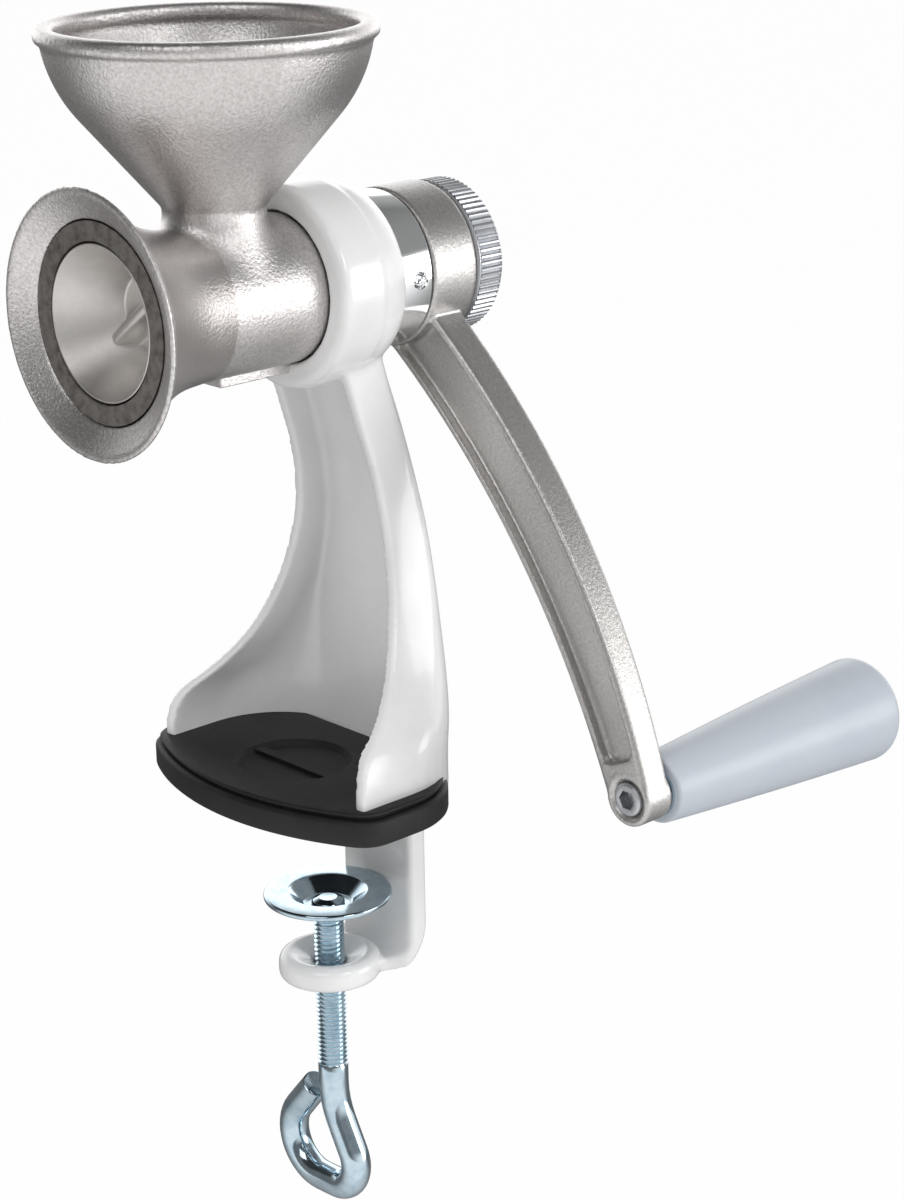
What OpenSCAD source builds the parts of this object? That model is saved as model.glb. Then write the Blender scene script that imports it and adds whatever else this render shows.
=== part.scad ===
// Hand crank table mill: a hopper, a barrel with a grinding cone, an enamelled stand and a table clamp.
// Millimetres, +Z up. The origin is on the underside of the rubber pad, on the clamp screw's axis.
// The barrel lies along Y: seeds leave at -Y, and the crank is at +Y. The clamp jaw opens towards -Y.

/* [Hopper] */
// Height of the barrel axis above the table top
axis_h = 130; // [128:1:132]
// Distance of the hopper's axis in front of the clamp screw
hopper_back = 28; // [27:0.5:29]
// Radius over the rolled rim of the hopper
rim_r = 39.8; // [38:0.2:42]
// Height of the hopper's rim above the barrel axis
rim_h = 65; // [63:1:67]
// Wall thickness of the cast bowl
bowl_wall = 2.6; // [2:0.1:3]
// Radius of the throat that drops into the barrel
throat_r = 7.3; // [6.5:0.1:7.5]

/* [Barrel] */
// Outer radius of the barrel
barrel_r = 18.3; // [18:0.1:18.6]
// Bore radius around the feed worm
bore_r = 13.4; // [13.2:0.1:13.8]
// Rim radius of the outlet flare
flare_r = 32.5; // [31:0.5:34]
// Radius of the tail that passes through the stand's collar
tail_r = 15.5; // [15:0.1:16]

/* [Grinding set] */
// Radius over the front flange of the grinding ring
ring_r = 23.7; // [23:0.1:24]
// Radius of the grinding ring's mouth
mouth_r = 19.05; // [18.6:0.05:19.4]
// Radial gap between the grinding cone and its ring at the finest setting
mill_gap = 0.45; // [0.35:0.05:0.6]
// Number of milling grooves
groove_count = 16; // [12:1:20]

/* [Drive] */
// Radius of the shaft's bearing journal
journal_r = 8; // [7.5:0.1:8.2]
// Size across flats of the square that drives the shaft
square_af = 10.5; // [10:0.1:10.8]
// Radius of the threaded stud at the shaft's tail
stud_r = 5; // [4.5:0.1:5.2]
// Lead of the feed worm
worm_lead = 12; // [10:1:14]

/* [Crank] */
// Distance from the barrel axis to the grip axis
crank_throw = 144.9; // [143:0.1:147]
// Angle of the crank below the horizontal, at rest
crank_angle = 55.1; // [54:0.1:56]
// Radius of the crank's hub
hub_r = 19.8; // [19.6:0.1:20.4]
// Radius of the boss that holds the grip's pin
boss_r = 6.9; // [6.6:0.1:7.4]
// Length of the turning grip
grip_l = 79.4; // [76:0.2:84]
// Radius of the grip at its far end
grip_end_r = 13.9; // [13:0.1:15]
// Radius of the knurled adjusting nut
nut_r = 19.3; // [18.5:0.1:19.6]

/* [Stand] */
// Half of the stand's width over its side walls, at the foot
foot_half_w = 38.5; // [38:0.1:39]
// Largest radius of the collar that holds the barrel
collar_r = 25; // [24.5:0.1:26]
// Half of the clamp bar's width
bar_half_w = 13.3; // [12.5:0.1:14]
// Thickness of the clamp bar
bar_t = 6.1; // [5.8:0.1:6.2]
// Height of the whole rubber pad
pad_h = 8.6; // [8.2:0.1:9]

/* [Table clamp] */
// Depth of the clamp arm's top face under the table pad
jaw_depth = 47.5; // [45:0.5:50]
// Jaw opening at rest
jaw_rest = 30.5; // [30:0.5:32]
// Radius over the clamp screw's thread
screw_r = 4; // [3.8:0.05:4]
// Radius of the swivel plate
plate_r = 16.5; // [15.5:0.1:16.6]

/* [Hidden] */
$fn = 96;
run_gap = 0.05;             // radial clearance of every running fit
seat_gap = 0.03;            // clearance of a piece that sits still in its seat
face_gap = 0.05;            // clearance between two flat faces that turn on each other
bite = 0.5;                 // how far a cutting solid passes a face that it cuts

// Stations along the barrel axis, from the outlet to the crank
rim_y = -66.6;
ring_front_y = -62.8;
ring_seat_y = -59.8;
ring_rear_y = -47;
shoulder_y = -9.8;
spigot_y = -4.5;
bush_front_y = -5;
collar_end_y = 12.6;
nut_end_y = 23.1;
hub_front_y = 23.6;
hub_rear_y = 38;
arm_front_y = 25;
arm_rear_y = 33.3;
knurl_start_y = 38.9;
knurl_end_y = 47.6;
worm_front_y = -41.95;
worm_rear_y = -14.5;
seal_front_y = -7.4;
grip_start_y = 34.6;

// Grip axis and crank arm arcs, measured from the barrel axis in X and Z
grip_x = crank_throw * cos(crank_angle);
grip_z = -crank_throw * sin(crank_angle);
arm_outer_c = [-116, -179];
arm_inner_c = [-144, -207];
arm_wall = 2;
arm_recess = 3;

// Stand column, one row for each station: height, half width, front edge, back face, corner radius
back_y = 23;
column = [
    [6.5, foot_half_w, -20.5, back_y, 27], [13, foot_half_w, -20.5, back_y, 27],
    [20, 36.6, -17.5, back_y, 23], [26, 32.8, -9, back_y, 17], [34, 28.2, -1.5, back_y, 11],
    [44, 24.2, 3.6, back_y, 7], [55, 20.9, 6.7, back_y, 4.5], [68, 18, 7.9, 22.8, 4],
    [82, 16.4, 6.4, 20.4, 4], [95, 15.7, 2.6, 17, 4], [106, 15.7, -1, 13.2, 4], [116, 15.7, -4.5, 10.2, 4]
];
side_t = 3.2;
web_t = 6.2;
plate_z = 3;
plate_top_z = 6.5;
corner_steps = 6;
arc_steps = 8;

function lerp(a, b, t) = a + (b - a) * t;

// Points of an arc, from angle a0 to a1
function arc(c, r, a0, a1, n) =
    [for (i = [0:n]) let (a = lerp(a0, a1, i / n)) c + r * [cos(a), sin(a)]];

// Smooth value between four neighbouring stations
function spline(a, b, c, d, t) =
    0.5 * (2 * b + (c - a) * t + (2 * a - 5 * b + 4 * c - d) * t * t + (3 * b - a - 3 * c + d) * t * t * t);

// A row of a station table at a fractional place, on the smooth curve through the rows
function station(rows, s) =
    let (last = len(rows) - 1, i = min(floor(s), last - 1), t = s - i)
    spline(rows[max(i - 1, 0)], rows[i], rows[i + 1], rows[min(i + 2, last)], t);

// Local Z becomes +Y, with the local origin on the barrel axis
module on_axis(y = 0) translate([0, y, axis_h]) rotate([-90, 0, 0]) children();

// A turned part on the barrel axis: points are [radius, place along Y]
module turned(points) on_axis() rotate_extrude() polygon(points);

// A plain ring or pin on the barrel axis
module ring(r_out, r_in, y0, y1) on_axis(y0) difference() {
    cylinder(h = y1 - y0, r = r_out);
    if (r_in > 0) translate([0, 0, -bite]) cylinder(h = y1 - y0 + 2 * bite, r = r_in);
}

// A turned part on the grip's axis: points are [radius, place along Y]
module grip_turned(points)
    translate([grip_x, 0, axis_h + grip_z]) rotate([-90, 0, 0]) rotate_extrude() polygon(points);

// A flat drawn in X and Z about the barrel axis, given thickness from y0 to y1
module flat_xz(y0, y1) translate([0, y1, axis_h]) rotate([90, 0, 0]) linear_extrude(y1 - y0) children();

// ---- Mill body -------------------------------------------------------------------------------

cone_slope = 40.7;          // slope of the bowl's cone, from the vertical
lip_slope = 8;              // slope of the bowl at its rim
neck_r = 12.3;
neck_h = 22.6;
cone_h = 21;
bowl_arc_r = 34.5;
bead_h = 4;
bead_in_r = 35.4;
barrel_step_y = -36.8;       // where the barrel starts to widen towards the outlet
barrel_slope = 0.085;
trumpet_y = -42;
trumpet_power = 2.2;
thread_r = tail_r - 0.5;    // radius of the thread for the ring nut
tail_end_y = nut_end_y - 0.5;
tail_bore_r = 11;
seat_in_r = ring_r - 1.5;   // radius of the ring's seat behind its flange
seat_rear_r = barrel_r - 0.8;
tongue_w = 7;
tongue_h = 5;
tongue_drop = 20.5;         // how far the tongue reaches below the barrel axis
tongue_front_y = -31;
tongue_rear_y = -5;

// Profile of the bowl, moved inwards by t; the radius is first, the height above the barrel axis second
function bowl_side(t) =
    let (foot = [neck_r, neck_h], top = foot + cone_h * [tan(cone_slope), 1],
         centre = top + bowl_arc_r * [-cos(cone_slope), sin(cone_slope)])
    concat([foot + t * [-cos(cone_slope), sin(cone_slope)]],
           arc(centre, bowl_arc_r - t, -cone_slope, -lip_slope, arc_steps));

function widened_r(y) = barrel_r + barrel_slope * (barrel_step_y - y);

// Outer radius of the flare: a slight cone that opens into a trumpet
function trumpet_r(y) =
    let (share = max(trumpet_y - y, 0) / (trumpet_y - rim_y))
    widened_r(y) + (flare_r - widened_r(rim_y)) * pow(share, trumpet_power);

module hopper_shell() translate([0, -hopper_back, axis_h]) rotate_extrude() polygon(concat(
    [[0, 0], [neck_r, 0]], bowl_side(0),
    [[rim_r - 0.7, rim_h - bead_h], [rim_r, rim_h - bead_h + 1], [rim_r, rim_h - 1.4],
     [rim_r - 1.4, rim_h], [bead_in_r + 1.2, rim_h], [bead_in_r, rim_h - 1.2], [0, rim_h - 1.2]]));

module hopper_hollow() translate([0, -hopper_back, axis_h]) rotate_extrude() polygon(concat(
    [[0, 0], [throat_r, 0], [throat_r, neck_h + 1]], bowl_side(bowl_wall),
    [[bead_in_r, rim_h - 3], [bead_in_r, rim_h + bite], [0, rim_h + bite]]));

module barrel_solid() turned(concat(
    [[0, rim_y + 0.6], [flare_r - 1.6, rim_y + 0.6], [flare_r - 0.6, rim_y], [flare_r, rim_y + 0.6]],
    [for (i = [0:14]) let (y = lerp(rim_y + 1.6, trumpet_y, i / 14)) [trumpet_r(y), y]],
    [[barrel_r, barrel_step_y], [barrel_r, spigot_y], [tail_r, spigot_y], [tail_r, collar_end_y],
     [thread_r, collar_end_y], [thread_r, tail_end_y], [0, tail_end_y]]));

module barrel_hollow() turned([
    [0, rim_y - bite], [flare_r - 1.6, rim_y - bite], [flare_r - 1.6, rim_y + 0.6], [ring_r, ring_front_y],
    [ring_r, ring_seat_y], [seat_in_r, ring_seat_y], [seat_rear_r, ring_rear_y], [bore_r, ring_rear_y],
    [bore_r, bush_front_y], [tail_bore_r, bush_front_y], [tail_bore_r, nut_end_y], [0, nut_end_y]]);

// Tongue under the barrel that keeps the body from turning in the collar
module tongue() translate([-tongue_w / 2, tongue_front_y, axis_h - tongue_drop])
    cube([tongue_w, tongue_rear_y - tongue_front_y, tongue_h]);

module mill_body() color("silver") difference() {
    union() {
        barrel_solid();
        hopper_shell();
        tongue();
    }
    barrel_hollow();
    hopper_hollow();
    dowels();
}

// ---- Grinding set ----------------------------------------------------------------------------

ring_rear_r = 14;           // inner radius of the grinding ring's cone at its narrow end
taper = (mouth_r - ring_rear_r) / (ring_rear_y - ring_front_y);
cone_front_y = ring_front_y + 0.2;
cone_rear_y = ring_rear_y - 0.4;
dowel_r = 1;
dowel_l = 3.6;
dowel_x = ring_r - 1.1;
groove_start = 3.5;         // plain land at the mouth before the grooves
groove_front_y = ring_front_y + groove_start;
groove_r = mouth_r - taper * groove_start;
groove_depth = 0.9;

// Two dowels that keep the ring from turning in its seat
module dowels() for (x = [-dowel_x, dowel_x])
    translate([x, 0, 0]) ring(dowel_r, 0, ring_seat_y - dowel_l / 2, ring_seat_y + dowel_l / 2);

// Straight grooves on a cone, each cut by a square bar whose edge runs down the cone
module grooves(front_r) for (i = [0:groove_count - 1])
    on_axis(groove_front_y) rotate([0, 0, i * 360 / groove_count]) translate([front_r, 0, 0])
        rotate([0, -atan(taper), 0]) rotate([0, 0, 45]) translate([-groove_depth, -groove_depth, 0])
            cube([2 * groove_depth, 2 * groove_depth, ring_rear_y - ring_front_y]);

module grinding_ring() color([0.32, 0.30, 0.28]) difference() {
    turned([[mouth_r, ring_front_y], [ring_r - seat_gap, ring_front_y],
            [ring_r - seat_gap, ring_seat_y - seat_gap], [seat_in_r - seat_gap, ring_seat_y - seat_gap],
            [seat_rear_r - seat_gap, ring_rear_y - seat_gap], [ring_rear_r, ring_rear_y - seat_gap]]);
    grooves(groove_r - 0.3);
    dowels();
}

module ring_dowels() color("gray") dowels();

dish_floor_y = -48;
dish_floor_r = 9.6;
dish_mouth_r = 18;
rib_y = -52.8;
rib_w = 4;
rib_l = 24;
rib_angle = 37;             // slope of the rib across the dish
cone_hub_r = 12.9;
cone_hub_y = -42;
socket_y = -46.4;
socket_af = 7;
cone_pin_y = -44.2;
cone_pin_r = 1.25;
cone_pin_l = 2 * cone_hub_r - 1.2;

module cone_pin_solid(slack = 0) translate([0, cone_pin_y, axis_h - cone_pin_l / 2 - slack])
    cylinder(h = cone_pin_l + 2 * slack, r = cone_pin_r + slack);

module square_bar(af, y0, y1) on_axis(y0) translate([-af / 2, -af / 2, 0]) cube([af, af, y1 - y0]);

module grinding_cone() color("lightgray") difference() {
    union() {
        difference() {
            turned([[0, cone_front_y], [mouth_r - mill_gap, cone_front_y],
                    [mouth_r - mill_gap - taper * (cone_rear_y - cone_front_y), cone_rear_y],
                    [cone_hub_r, cone_rear_y], [cone_hub_r, cone_hub_y], [0, cone_hub_y]]);
            grooves(groove_r - mill_gap + 0.5);
            turned([[0, cone_front_y - bite], [dish_mouth_r, cone_front_y - bite],
                    [dish_mouth_r, cone_front_y], [dish_floor_r, dish_floor_y], [0, dish_floor_y]]);
        }
        on_axis(rib_y) rotate([0, 0, -rib_angle]) translate([-rib_l / 2, -rib_w / 2, 0])
            cube([rib_l, rib_w, dish_floor_y - rib_y + 0.5]);
    }
    square_bar(socket_af + 2 * seat_gap, socket_y - seat_gap, cone_hub_y + bite);
    cone_pin_solid(seat_gap);
}

module cone_pin() color("gray") cone_pin_solid();

// ---- Drive -----------------------------------------------------------------------------------

worm_r = bore_r - 0.5;
worm_core_r = 7.5;
worm_steps = 24;
worm_shaft_r = 6;
worm_pin_y = worm_rear_y - 3;
worm_pin_r = 2;
plain_end = 9;              // core length that carries no flight
worm_turns = (worm_rear_y - worm_front_y - plain_end) / worm_lead;

// One section of the flight: four corners in the plane through the axis, turned to its place
function flight_section(i) =
    let (a = i * 360 / worm_steps, y = worm_front_y + 2 + i * worm_lead / worm_steps)
    [for (q = [[worm_core_r - 0.8, 2], [worm_r, 0.8], [worm_r, -0.8], [worm_core_r - 0.8, -2]])
        [q[0] * cos(a), q[0] * sin(a), y + q[1]]];

// Solid through sections of m points that run out and back; each end is closed by m / 2 - 1 flat quads
module swept(sections) {
    m = len(sections[0]);
    last = (len(sections) - 1) * m;
    polyhedron(
        points = [for (s = sections) each s],
        faces = concat(
            [for (j = [0:m / 2 - 2]) [j, j + 1, m - 2 - j, m - 1 - j]],
            [for (j = [0:m / 2 - 2]) [last + m - 1 - j, last + m - 2 - j, last + j + 1, last + j]],
            [for (i = [0:m:last - m], j = [0:m - 1]) let (k = (j + 1) % m) [i + j, i + m + j, i + k]],
            [for (i = [0:m:last - m], j = [0:m - 1]) let (k = (j + 1) % m) [i + k, i + m + j, i + m + k]]));
}

module feed_worm() color("lightsteelblue") difference() {
    union() {
        on_axis(worm_front_y) linear_extrude(worm_rear_y - worm_front_y) polygon([
            for (i = [0:worm_steps - 1])
                let (a = (i + 0.5) * 360 / worm_steps) worm_core_r * [cos(a), sin(a)]]);
        on_axis() mirror([0, 1, 0]) swept([for (i = [0:round(worm_turns * worm_steps)]) flight_section(i)]);
    }
    ring(worm_shaft_r + seat_gap, 0, worm_front_y - bite, worm_rear_y + bite);
    worm_pin_solid(seat_gap);
}

// Cross pin through the worm's core and the shaft
module worm_pin_solid(slack = 0) translate([0, worm_pin_y, axis_h - worm_core_r - slack])
    cylinder(h = 2 * (worm_core_r + slack), r = worm_pin_r + slack);

module worm_pin() color("gray") worm_pin_solid();

module drive_shaft() color("lightsteelblue") difference() {
    union() {
        square_bar(socket_af, socket_y, worm_front_y + 1);
        ring(worm_shaft_r, 0, worm_front_y, worm_rear_y);
        ring(journal_r, 0, worm_rear_y, hub_front_y - 0.1);
        square_bar(square_af, hub_front_y - 0.2, hub_rear_y - 0.4);
        ring(stud_r, 0, hub_rear_y - 1, knurl_end_y - 0.8);
    }
    cone_pin_solid(seat_gap);
    worm_pin_solid(seat_gap);
}

spring_turns = 3;
spring_r = 10;
wire_r = 0.75;
spring_steps = 20;
spring_sides = 8;
washer_front_y = seal_front_y - 1;      // front face of the washer behind the spring
bush_flange_y = bush_front_y - 1.5;

// One ring of wire on the spring's helix
function wire_section(i) =
    let (a = i * 360 / spring_steps, s = i / (spring_steps * spring_turns),
         y = lerp(worm_rear_y + wire_r + 0.1, washer_front_y - wire_r - 0.1, s))
    [for (j = [0:spring_sides - 1]) let (b = j * 360 / spring_sides, q = spring_r + wire_r * cos(b))
        [q * cos(a), q * sin(a), y - wire_r * sin(b)]];

module preload_spring() color("slategray")
    on_axis() swept([for (i = [0:spring_steps * spring_turns]) wire_section(i)]);

module spring_washer() color("gainsboro")
    ring(bore_r - 0.3, journal_r + 0.3, washer_front_y, seal_front_y - face_gap);

module shaft_seal() color("dimgray") ring(bore_r, journal_r + run_gap, seal_front_y, bush_flange_y);

module bearing_bush() color("peru") turned([
    [journal_r + run_gap, bush_flange_y], [bore_r - seat_gap, bush_flange_y],
    [bore_r - seat_gap, bush_front_y], [tail_bore_r, bush_front_y],
    [tail_bore_r, tail_end_y], [journal_r + run_gap, tail_end_y]]);

// ---- Ring nut and thrust washer ----------------------------------------------------------------

tommy_r = 2;
tommy_y = 19.1;
tommy_depth = 3.2;
ring_nut_r = 19.5;
ring_nut_edge = 0.4;

module ring_nut() color("white") difference() {
    turned([[thread_r, collar_end_y], [ring_nut_r, collar_end_y], [ring_nut_r, nut_end_y - ring_nut_edge],
            [ring_nut_r - ring_nut_edge, nut_end_y], [thread_r, nut_end_y]]);
    translate([ring_nut_r - tommy_depth, tommy_y, axis_h]) rotate([0, 90, 0])
        cylinder(h = tommy_depth + bite, r = tommy_r);
}

module thrust_washer() color([0.08, 0.08, 0.08])
    ring(ring_nut_r - 0.9, journal_r + 0.3, nut_end_y, hub_front_y - face_gap);

// ---- Stand -----------------------------------------------------------------------------------

// Outer outline of a column section, from the right front edge round the back to the left one
function wall_outer(row) =
    let (w = row[1], yf = row[2], yb = row[3], r = row[4])
    concat([[w, yf]], arc([w - r, yb - r], r, 0, 90, corner_steps),
           arc([r - w, yb - r], r, 90, 180, corner_steps), [[-w, yf]]);

// Inner outline of the same section
function wall_inner(row) =
    let (w = row[1] - side_t, yf = row[2], yb = row[3] - web_t, r = max(row[4] - side_t - 1, 2))
    concat([[w, yf]], arc([w - r, yb - r], r, 0, 90, corner_steps),
           arc([r - w, yb - r], r, 90, 180, corner_steps), [[-w, yf]]);

function reversed(v) = [for (i = [len(v) - 1:-1:0]) v[i]];

// The open channel section as one closed ring of points
function channel(row) = concat(wall_outer(row), reversed(wall_inner(row)));

function lifted(outline, z) = [for (q = outline) [q[0], q[1], z]];

module column_walls() {
    steps = 2 * (len(column) - 1);
    swept([for (i = [0:steps]) let (row = station(column, i / 2)) lifted(channel(row), row[0])]);
}

module foot_plate() translate([0, 0, plate_z]) linear_extrude(plate_top_z - plate_z)
    polygon(wall_outer(column[0]));

arm_r = 12.5;               // outer bend of the clamp bar
inner_bend_r = 5;
thread_boss_r = 13.4;
thread_boss_h = 6.7;
boss_low_z = -jaw_depth - thread_boss_h;
sink_h = 2.9;               // wide countersink over the clamp screw's thread
sink_r = 11;
arm_h = 4.1;
arm_top_z = -jaw_depth - 3.7;
arm_low_z = arm_top_z - arm_h;
waist_w = 7.8;              // half width of the arm at its waist
waist_y = 8;
waist_r = 8;                // radius that widens the arm from its waist to the bar

// Side view of the clamp bar and its arm, in Y and Z
module clamp_bar()
    rotate([90, 0, 90]) translate([0, 0, -bar_half_w]) linear_extrude(2 * bar_half_w) polygon(concat(
        [[back_y, plate_top_z], [back_y - bar_t, plate_top_z]],
        arc([back_y - bar_t - inner_bend_r, arm_top_z + inner_bend_r], inner_bend_r, 0, -90, 4),
        [[0, arm_top_z], [0, boss_low_z], [waist_y, boss_low_z]],
        arc([back_y - arm_r, arm_low_z + arm_r], arm_r, -90, 0, 6)));

// What is cut from the two sides of the arm to leave its waist
module waist_cuts() for (side = [-1, 1]) translate([side * (waist_w + waist_r), 0, arm_low_z - bite]) {
    translate([0, waist_y, 0]) cylinder(h = arm_h + inner_bend_r, r = waist_r);
    translate([-waist_r, -bite, 0]) cube([2 * waist_r, waist_y + bite, arm_h + inner_bend_r]);
}

// Collar with a flat front, a round edge and a softly falling back, turned about the barrel axis
collar_edge = 2.2;          // radius of the collar's front edge
collar_crease_y = 3.4;      // where the collar's back starts to fall
collar_step = 0.4;
collar_back_r = 16;
collar_bore_r = barrel_r + 0.1;
notch_l = 11;
notch_gap = 0.1;            // clearance of the tongue in its notch

module collar() turned(concat(
    [[tail_r, spigot_y], [collar_bore_r, spigot_y], [collar_bore_r, shoulder_y]],
    arc([collar_r - collar_edge, shoulder_y + collar_edge], collar_edge, -90, 0, 4),
    [[collar_r, collar_crease_y]],
    arc([collar_r - collar_step - collar_back_r, collar_crease_y], collar_back_r,
        0, asin((collar_end_y - collar_crease_y) / collar_back_r), arc_steps),
    [[tail_r, collar_end_y]]));

// What the collar leaves free for the tongue under the barrel
module tongue_notch()
    translate([-tongue_w / 2 - notch_gap, shoulder_y - 6, axis_h - tongue_drop - notch_gap])
    cube([tongue_w + 2 * notch_gap, notch_l, tongue_h + 1]);

// What the column leaves free for the barrel
module collar_bore() {
    ring(tail_r, 0, spigot_y - bite, collar_end_y + bite);
    ring(collar_bore_r, 0, shoulder_y - 6, spigot_y);
}

module stand() color("whitesmoke") difference() {
    union() {
        difference() {
            column_walls();
            collar_bore();
        }
        collar();
        foot_plate();
        difference() {
            clamp_bar();
            waist_cuts();
        }
        translate([0, 0, boss_low_z]) cylinder(h = thread_boss_h, r = thread_boss_r);
    }
    tongue_notch();
    translate([0, 0, boss_low_z - bite])
        cylinder(h = thread_boss_h + 2 * bite, r = screw_r + run_gap);
    translate([0, 0, -jaw_depth - sink_h]) cylinder(h = sink_h + bite, r1 = screw_r + run_gap, r2 = sink_r);
}

// ---- Rubber pad --------------------------------------------------------------------------------

sole_half_w = 43;
sole_back_y = 15.8;
sole_front_r = 80;
sole_front_c = [0, 46];
sole_corner_r = 9;
sole_back_r = 22;
sole_side_h = 7.6;
sole_inset = 1.2;           // how far the upper lip stands back from the sole's edge
recess_r = 14;
recess_floor = 0.6;         // rubber left over the foot plate under the recess
recess_y = -10;
recess_bar = 2.4;

// Outline of the sole, moved inwards by t
function sole_outline(t) =
    let (x = sole_half_w - sole_corner_r, reach = sole_front_r - sole_corner_r,
         y = sole_front_c[1] - sqrt(reach * reach - x * x), a = asin(x / reach),
         back = [sole_half_w - sole_back_r, sole_back_y - sole_back_r])
    concat(arc(sole_front_c, sole_front_r - t, -90 - a, -90 + a, 12),
           arc([x, y], sole_corner_r - t, -90 + a, 0, 5),
           arc(back, sole_back_r - t, 0, 90, arc_steps),
           arc([-back[0], back[1]], sole_back_r - t, 90, 180, arc_steps),
           arc([-x, y], sole_corner_r - t, 180, 270 - a, 5));

module walls_slot() translate([0, 0, plate_top_z - 0.1]) linear_extrude(pad_h)
    polygon(concat(wall_outer(column[0]), reversed(wall_inner(column[0]))));

module table_pad() color([0.13, 0.13, 0.13]) difference() {
    union() {
        linear_extrude(sole_side_h) polygon(sole_outline(0));
        linear_extrude(pad_h) polygon(sole_outline(sole_inset));
    }
    foot_plate();
    walls_slot();
    difference() {
        translate([0, recess_y, plate_top_z + recess_floor]) cylinder(h = pad_h, r = recess_r);
        translate([-recess_r - 1, recess_y - recess_bar / 2, 0])
            cube([2 * recess_r + 2, recess_bar, pad_h - 0.4]);
    }
}

// ---- Crank -------------------------------------------------------------------------------------

grip_axis = [grip_x, grip_z];
arm_outer_r = norm(grip_axis - arm_outer_c) + boss_r;
arm_inner_r = norm(grip_axis - arm_inner_c) - boss_r;
hub_angle = 56;             // where the arm's arcs run out inside the hub
boss_angle = 17;

// The curved arm in X and Z, with its edges moved inwards by t
module arm_flat(t) difference() {
    intersection() {
        translate(arm_outer_c) circle(r = arm_outer_r - t, $fn = 240);
        translate(arm_outer_c) polygon([[0, 0], 300 * [cos(boss_angle), sin(boss_angle)],
                                        300 * [cos(hub_angle), sin(hub_angle)]]);
    }
    translate(arm_inner_c) circle(r = arm_inner_r + t, $fn = 240);
}

pin_r = 3.5;
pin_head_r = 4.3;

pin_head_front_y = arm_front_y - 0.4;
pin_head_rear_y = arm_front_y + 1.6;
boss_front_y = arm_front_y - 0.15;
boss_rear_y = arm_rear_y + 0.55;
moat_w = 0.9;               // ring groove round the pin's head
moat_h = 0.8;

module crank_arm() color("silver") difference() {
    union() {
        flat_xz(arm_front_y, arm_rear_y) arm_flat(0);
        ring(hub_r, 0, hub_front_y, hub_rear_y);
        grip_turned([[0, boss_front_y], [boss_r, boss_front_y], [boss_r, boss_rear_y], [0, boss_rear_y]]);
    }
    flat_xz(arm_front_y - bite, arm_front_y + arm_recess) difference() {
        arm_flat(arm_wall);
        circle(r = hub_r + 0.6);
        translate(grip_axis) circle(r = boss_r + 3.4);
    }
    square_bar(square_af + 2 * run_gap, hub_front_y - bite, hub_rear_y + bite);
    grip_turned([[0, boss_front_y - bite], [pin_head_r + moat_w, boss_front_y - bite],
                 [pin_head_r + moat_w, boss_front_y + moat_h], [pin_head_r + seat_gap, boss_front_y + moat_h],
                 [pin_head_r + seat_gap, pin_head_rear_y], [pin_r + seat_gap, pin_head_rear_y],
                 [pin_r + seat_gap, boss_rear_y + bite], [0, boss_rear_y + bite]]);
}

module nut_washer() color("gainsboro") ring(12, stud_r + 0.2, hub_rear_y, knurl_start_y - 0.1);

knurl_teeth = 76;
knurl_depth = 0.7;
knurl_root_r = nut_r - knurl_depth - 0.15;
knurl_chamfer = 0.8;
knurl_l = knurl_end_y - knurl_start_y - 2 * knurl_chamfer - 0.2;
nut_groove_r = [8, 14];     // ring groove turned in the nut's rear face
nut_groove_h = 1.2;

module adjusting_nut() color("lightsteelblue") difference() {
    union() {
        on_axis(knurl_start_y + knurl_chamfer) linear_extrude(knurl_l) polygon([
            for (i = [0:2 * knurl_teeth - 1])
                let (a = i * 180 / knurl_teeth, r = nut_r - (i % 2) * knurl_depth)
                    r * [cos(a), sin(a)]]);
        turned([[0, knurl_start_y], [knurl_root_r - knurl_chamfer, knurl_start_y],
                [knurl_root_r, knurl_start_y + knurl_chamfer], [knurl_root_r, knurl_end_y - 1],
                [knurl_root_r - 1, knurl_end_y], [0, knurl_end_y]]);
    }
    ring(stud_r + run_gap, 0, knurl_start_y - bite, knurl_end_y + bite);
    ring(nut_groove_r[1], nut_groove_r[0], knurl_end_y - nut_groove_h, knurl_end_y + bite);
}

// ---- Grip --------------------------------------------------------------------------------------

grip_end_y = grip_start_y + grip_l;
grip_start_r = 8.6;
pocket_r = 7.5;
pocket_l = 12;
end_round = 3;
pin_end_y = grip_end_y - 7;
cap_h = 3;
hex_r = 2.6;
hex_depth = 3.4;

grip_gap = 0.08;            // radial clearance of the grip on its pin
pin_washer_r = 6.6;
pin_washer_y = [boss_rear_y + face_gap, grip_start_y - 0.15];

module grip_pin() color("gainsboro") difference() {
    grip_turned([[0, pin_head_front_y], [pin_head_r - 0.7, pin_head_front_y],
                 [pin_head_r, arm_front_y + 0.3], [pin_head_r, pin_head_rear_y],
                 [pin_r, pin_head_rear_y], [pin_r, pin_end_y], [0, pin_end_y]]);
    translate([grip_x, pin_head_front_y - bite, axis_h + grip_z]) rotate([-90, 0, 0])
        cylinder(h = bite + hex_depth, r = hex_r, $fn = 6);
}

module grip_washer() color("gray") grip_turned([
    [pin_r + seat_gap, pin_washer_y[0]], [pin_washer_r, pin_washer_y[0]],
    [pin_washer_r, pin_washer_y[1]], [pin_r + seat_gap, pin_washer_y[1]]]);

module grip() color([0.74, 0.77, 0.8]) grip_turned(concat(
    [[pin_r + grip_gap, grip_start_y], [grip_start_r - 0.6, grip_start_y],
     [grip_start_r, grip_start_y + 0.6]],
    arc([grip_end_r - end_round, grip_end_y - end_round], end_round, 0, 90, 6),
    [[pocket_r, grip_end_y], [pocket_r, grip_end_y - pocket_l],
     [pin_r + grip_gap, grip_end_y - pocket_l]]));

retainer_y = grip_end_y - pocket_l + 0.15;

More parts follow.
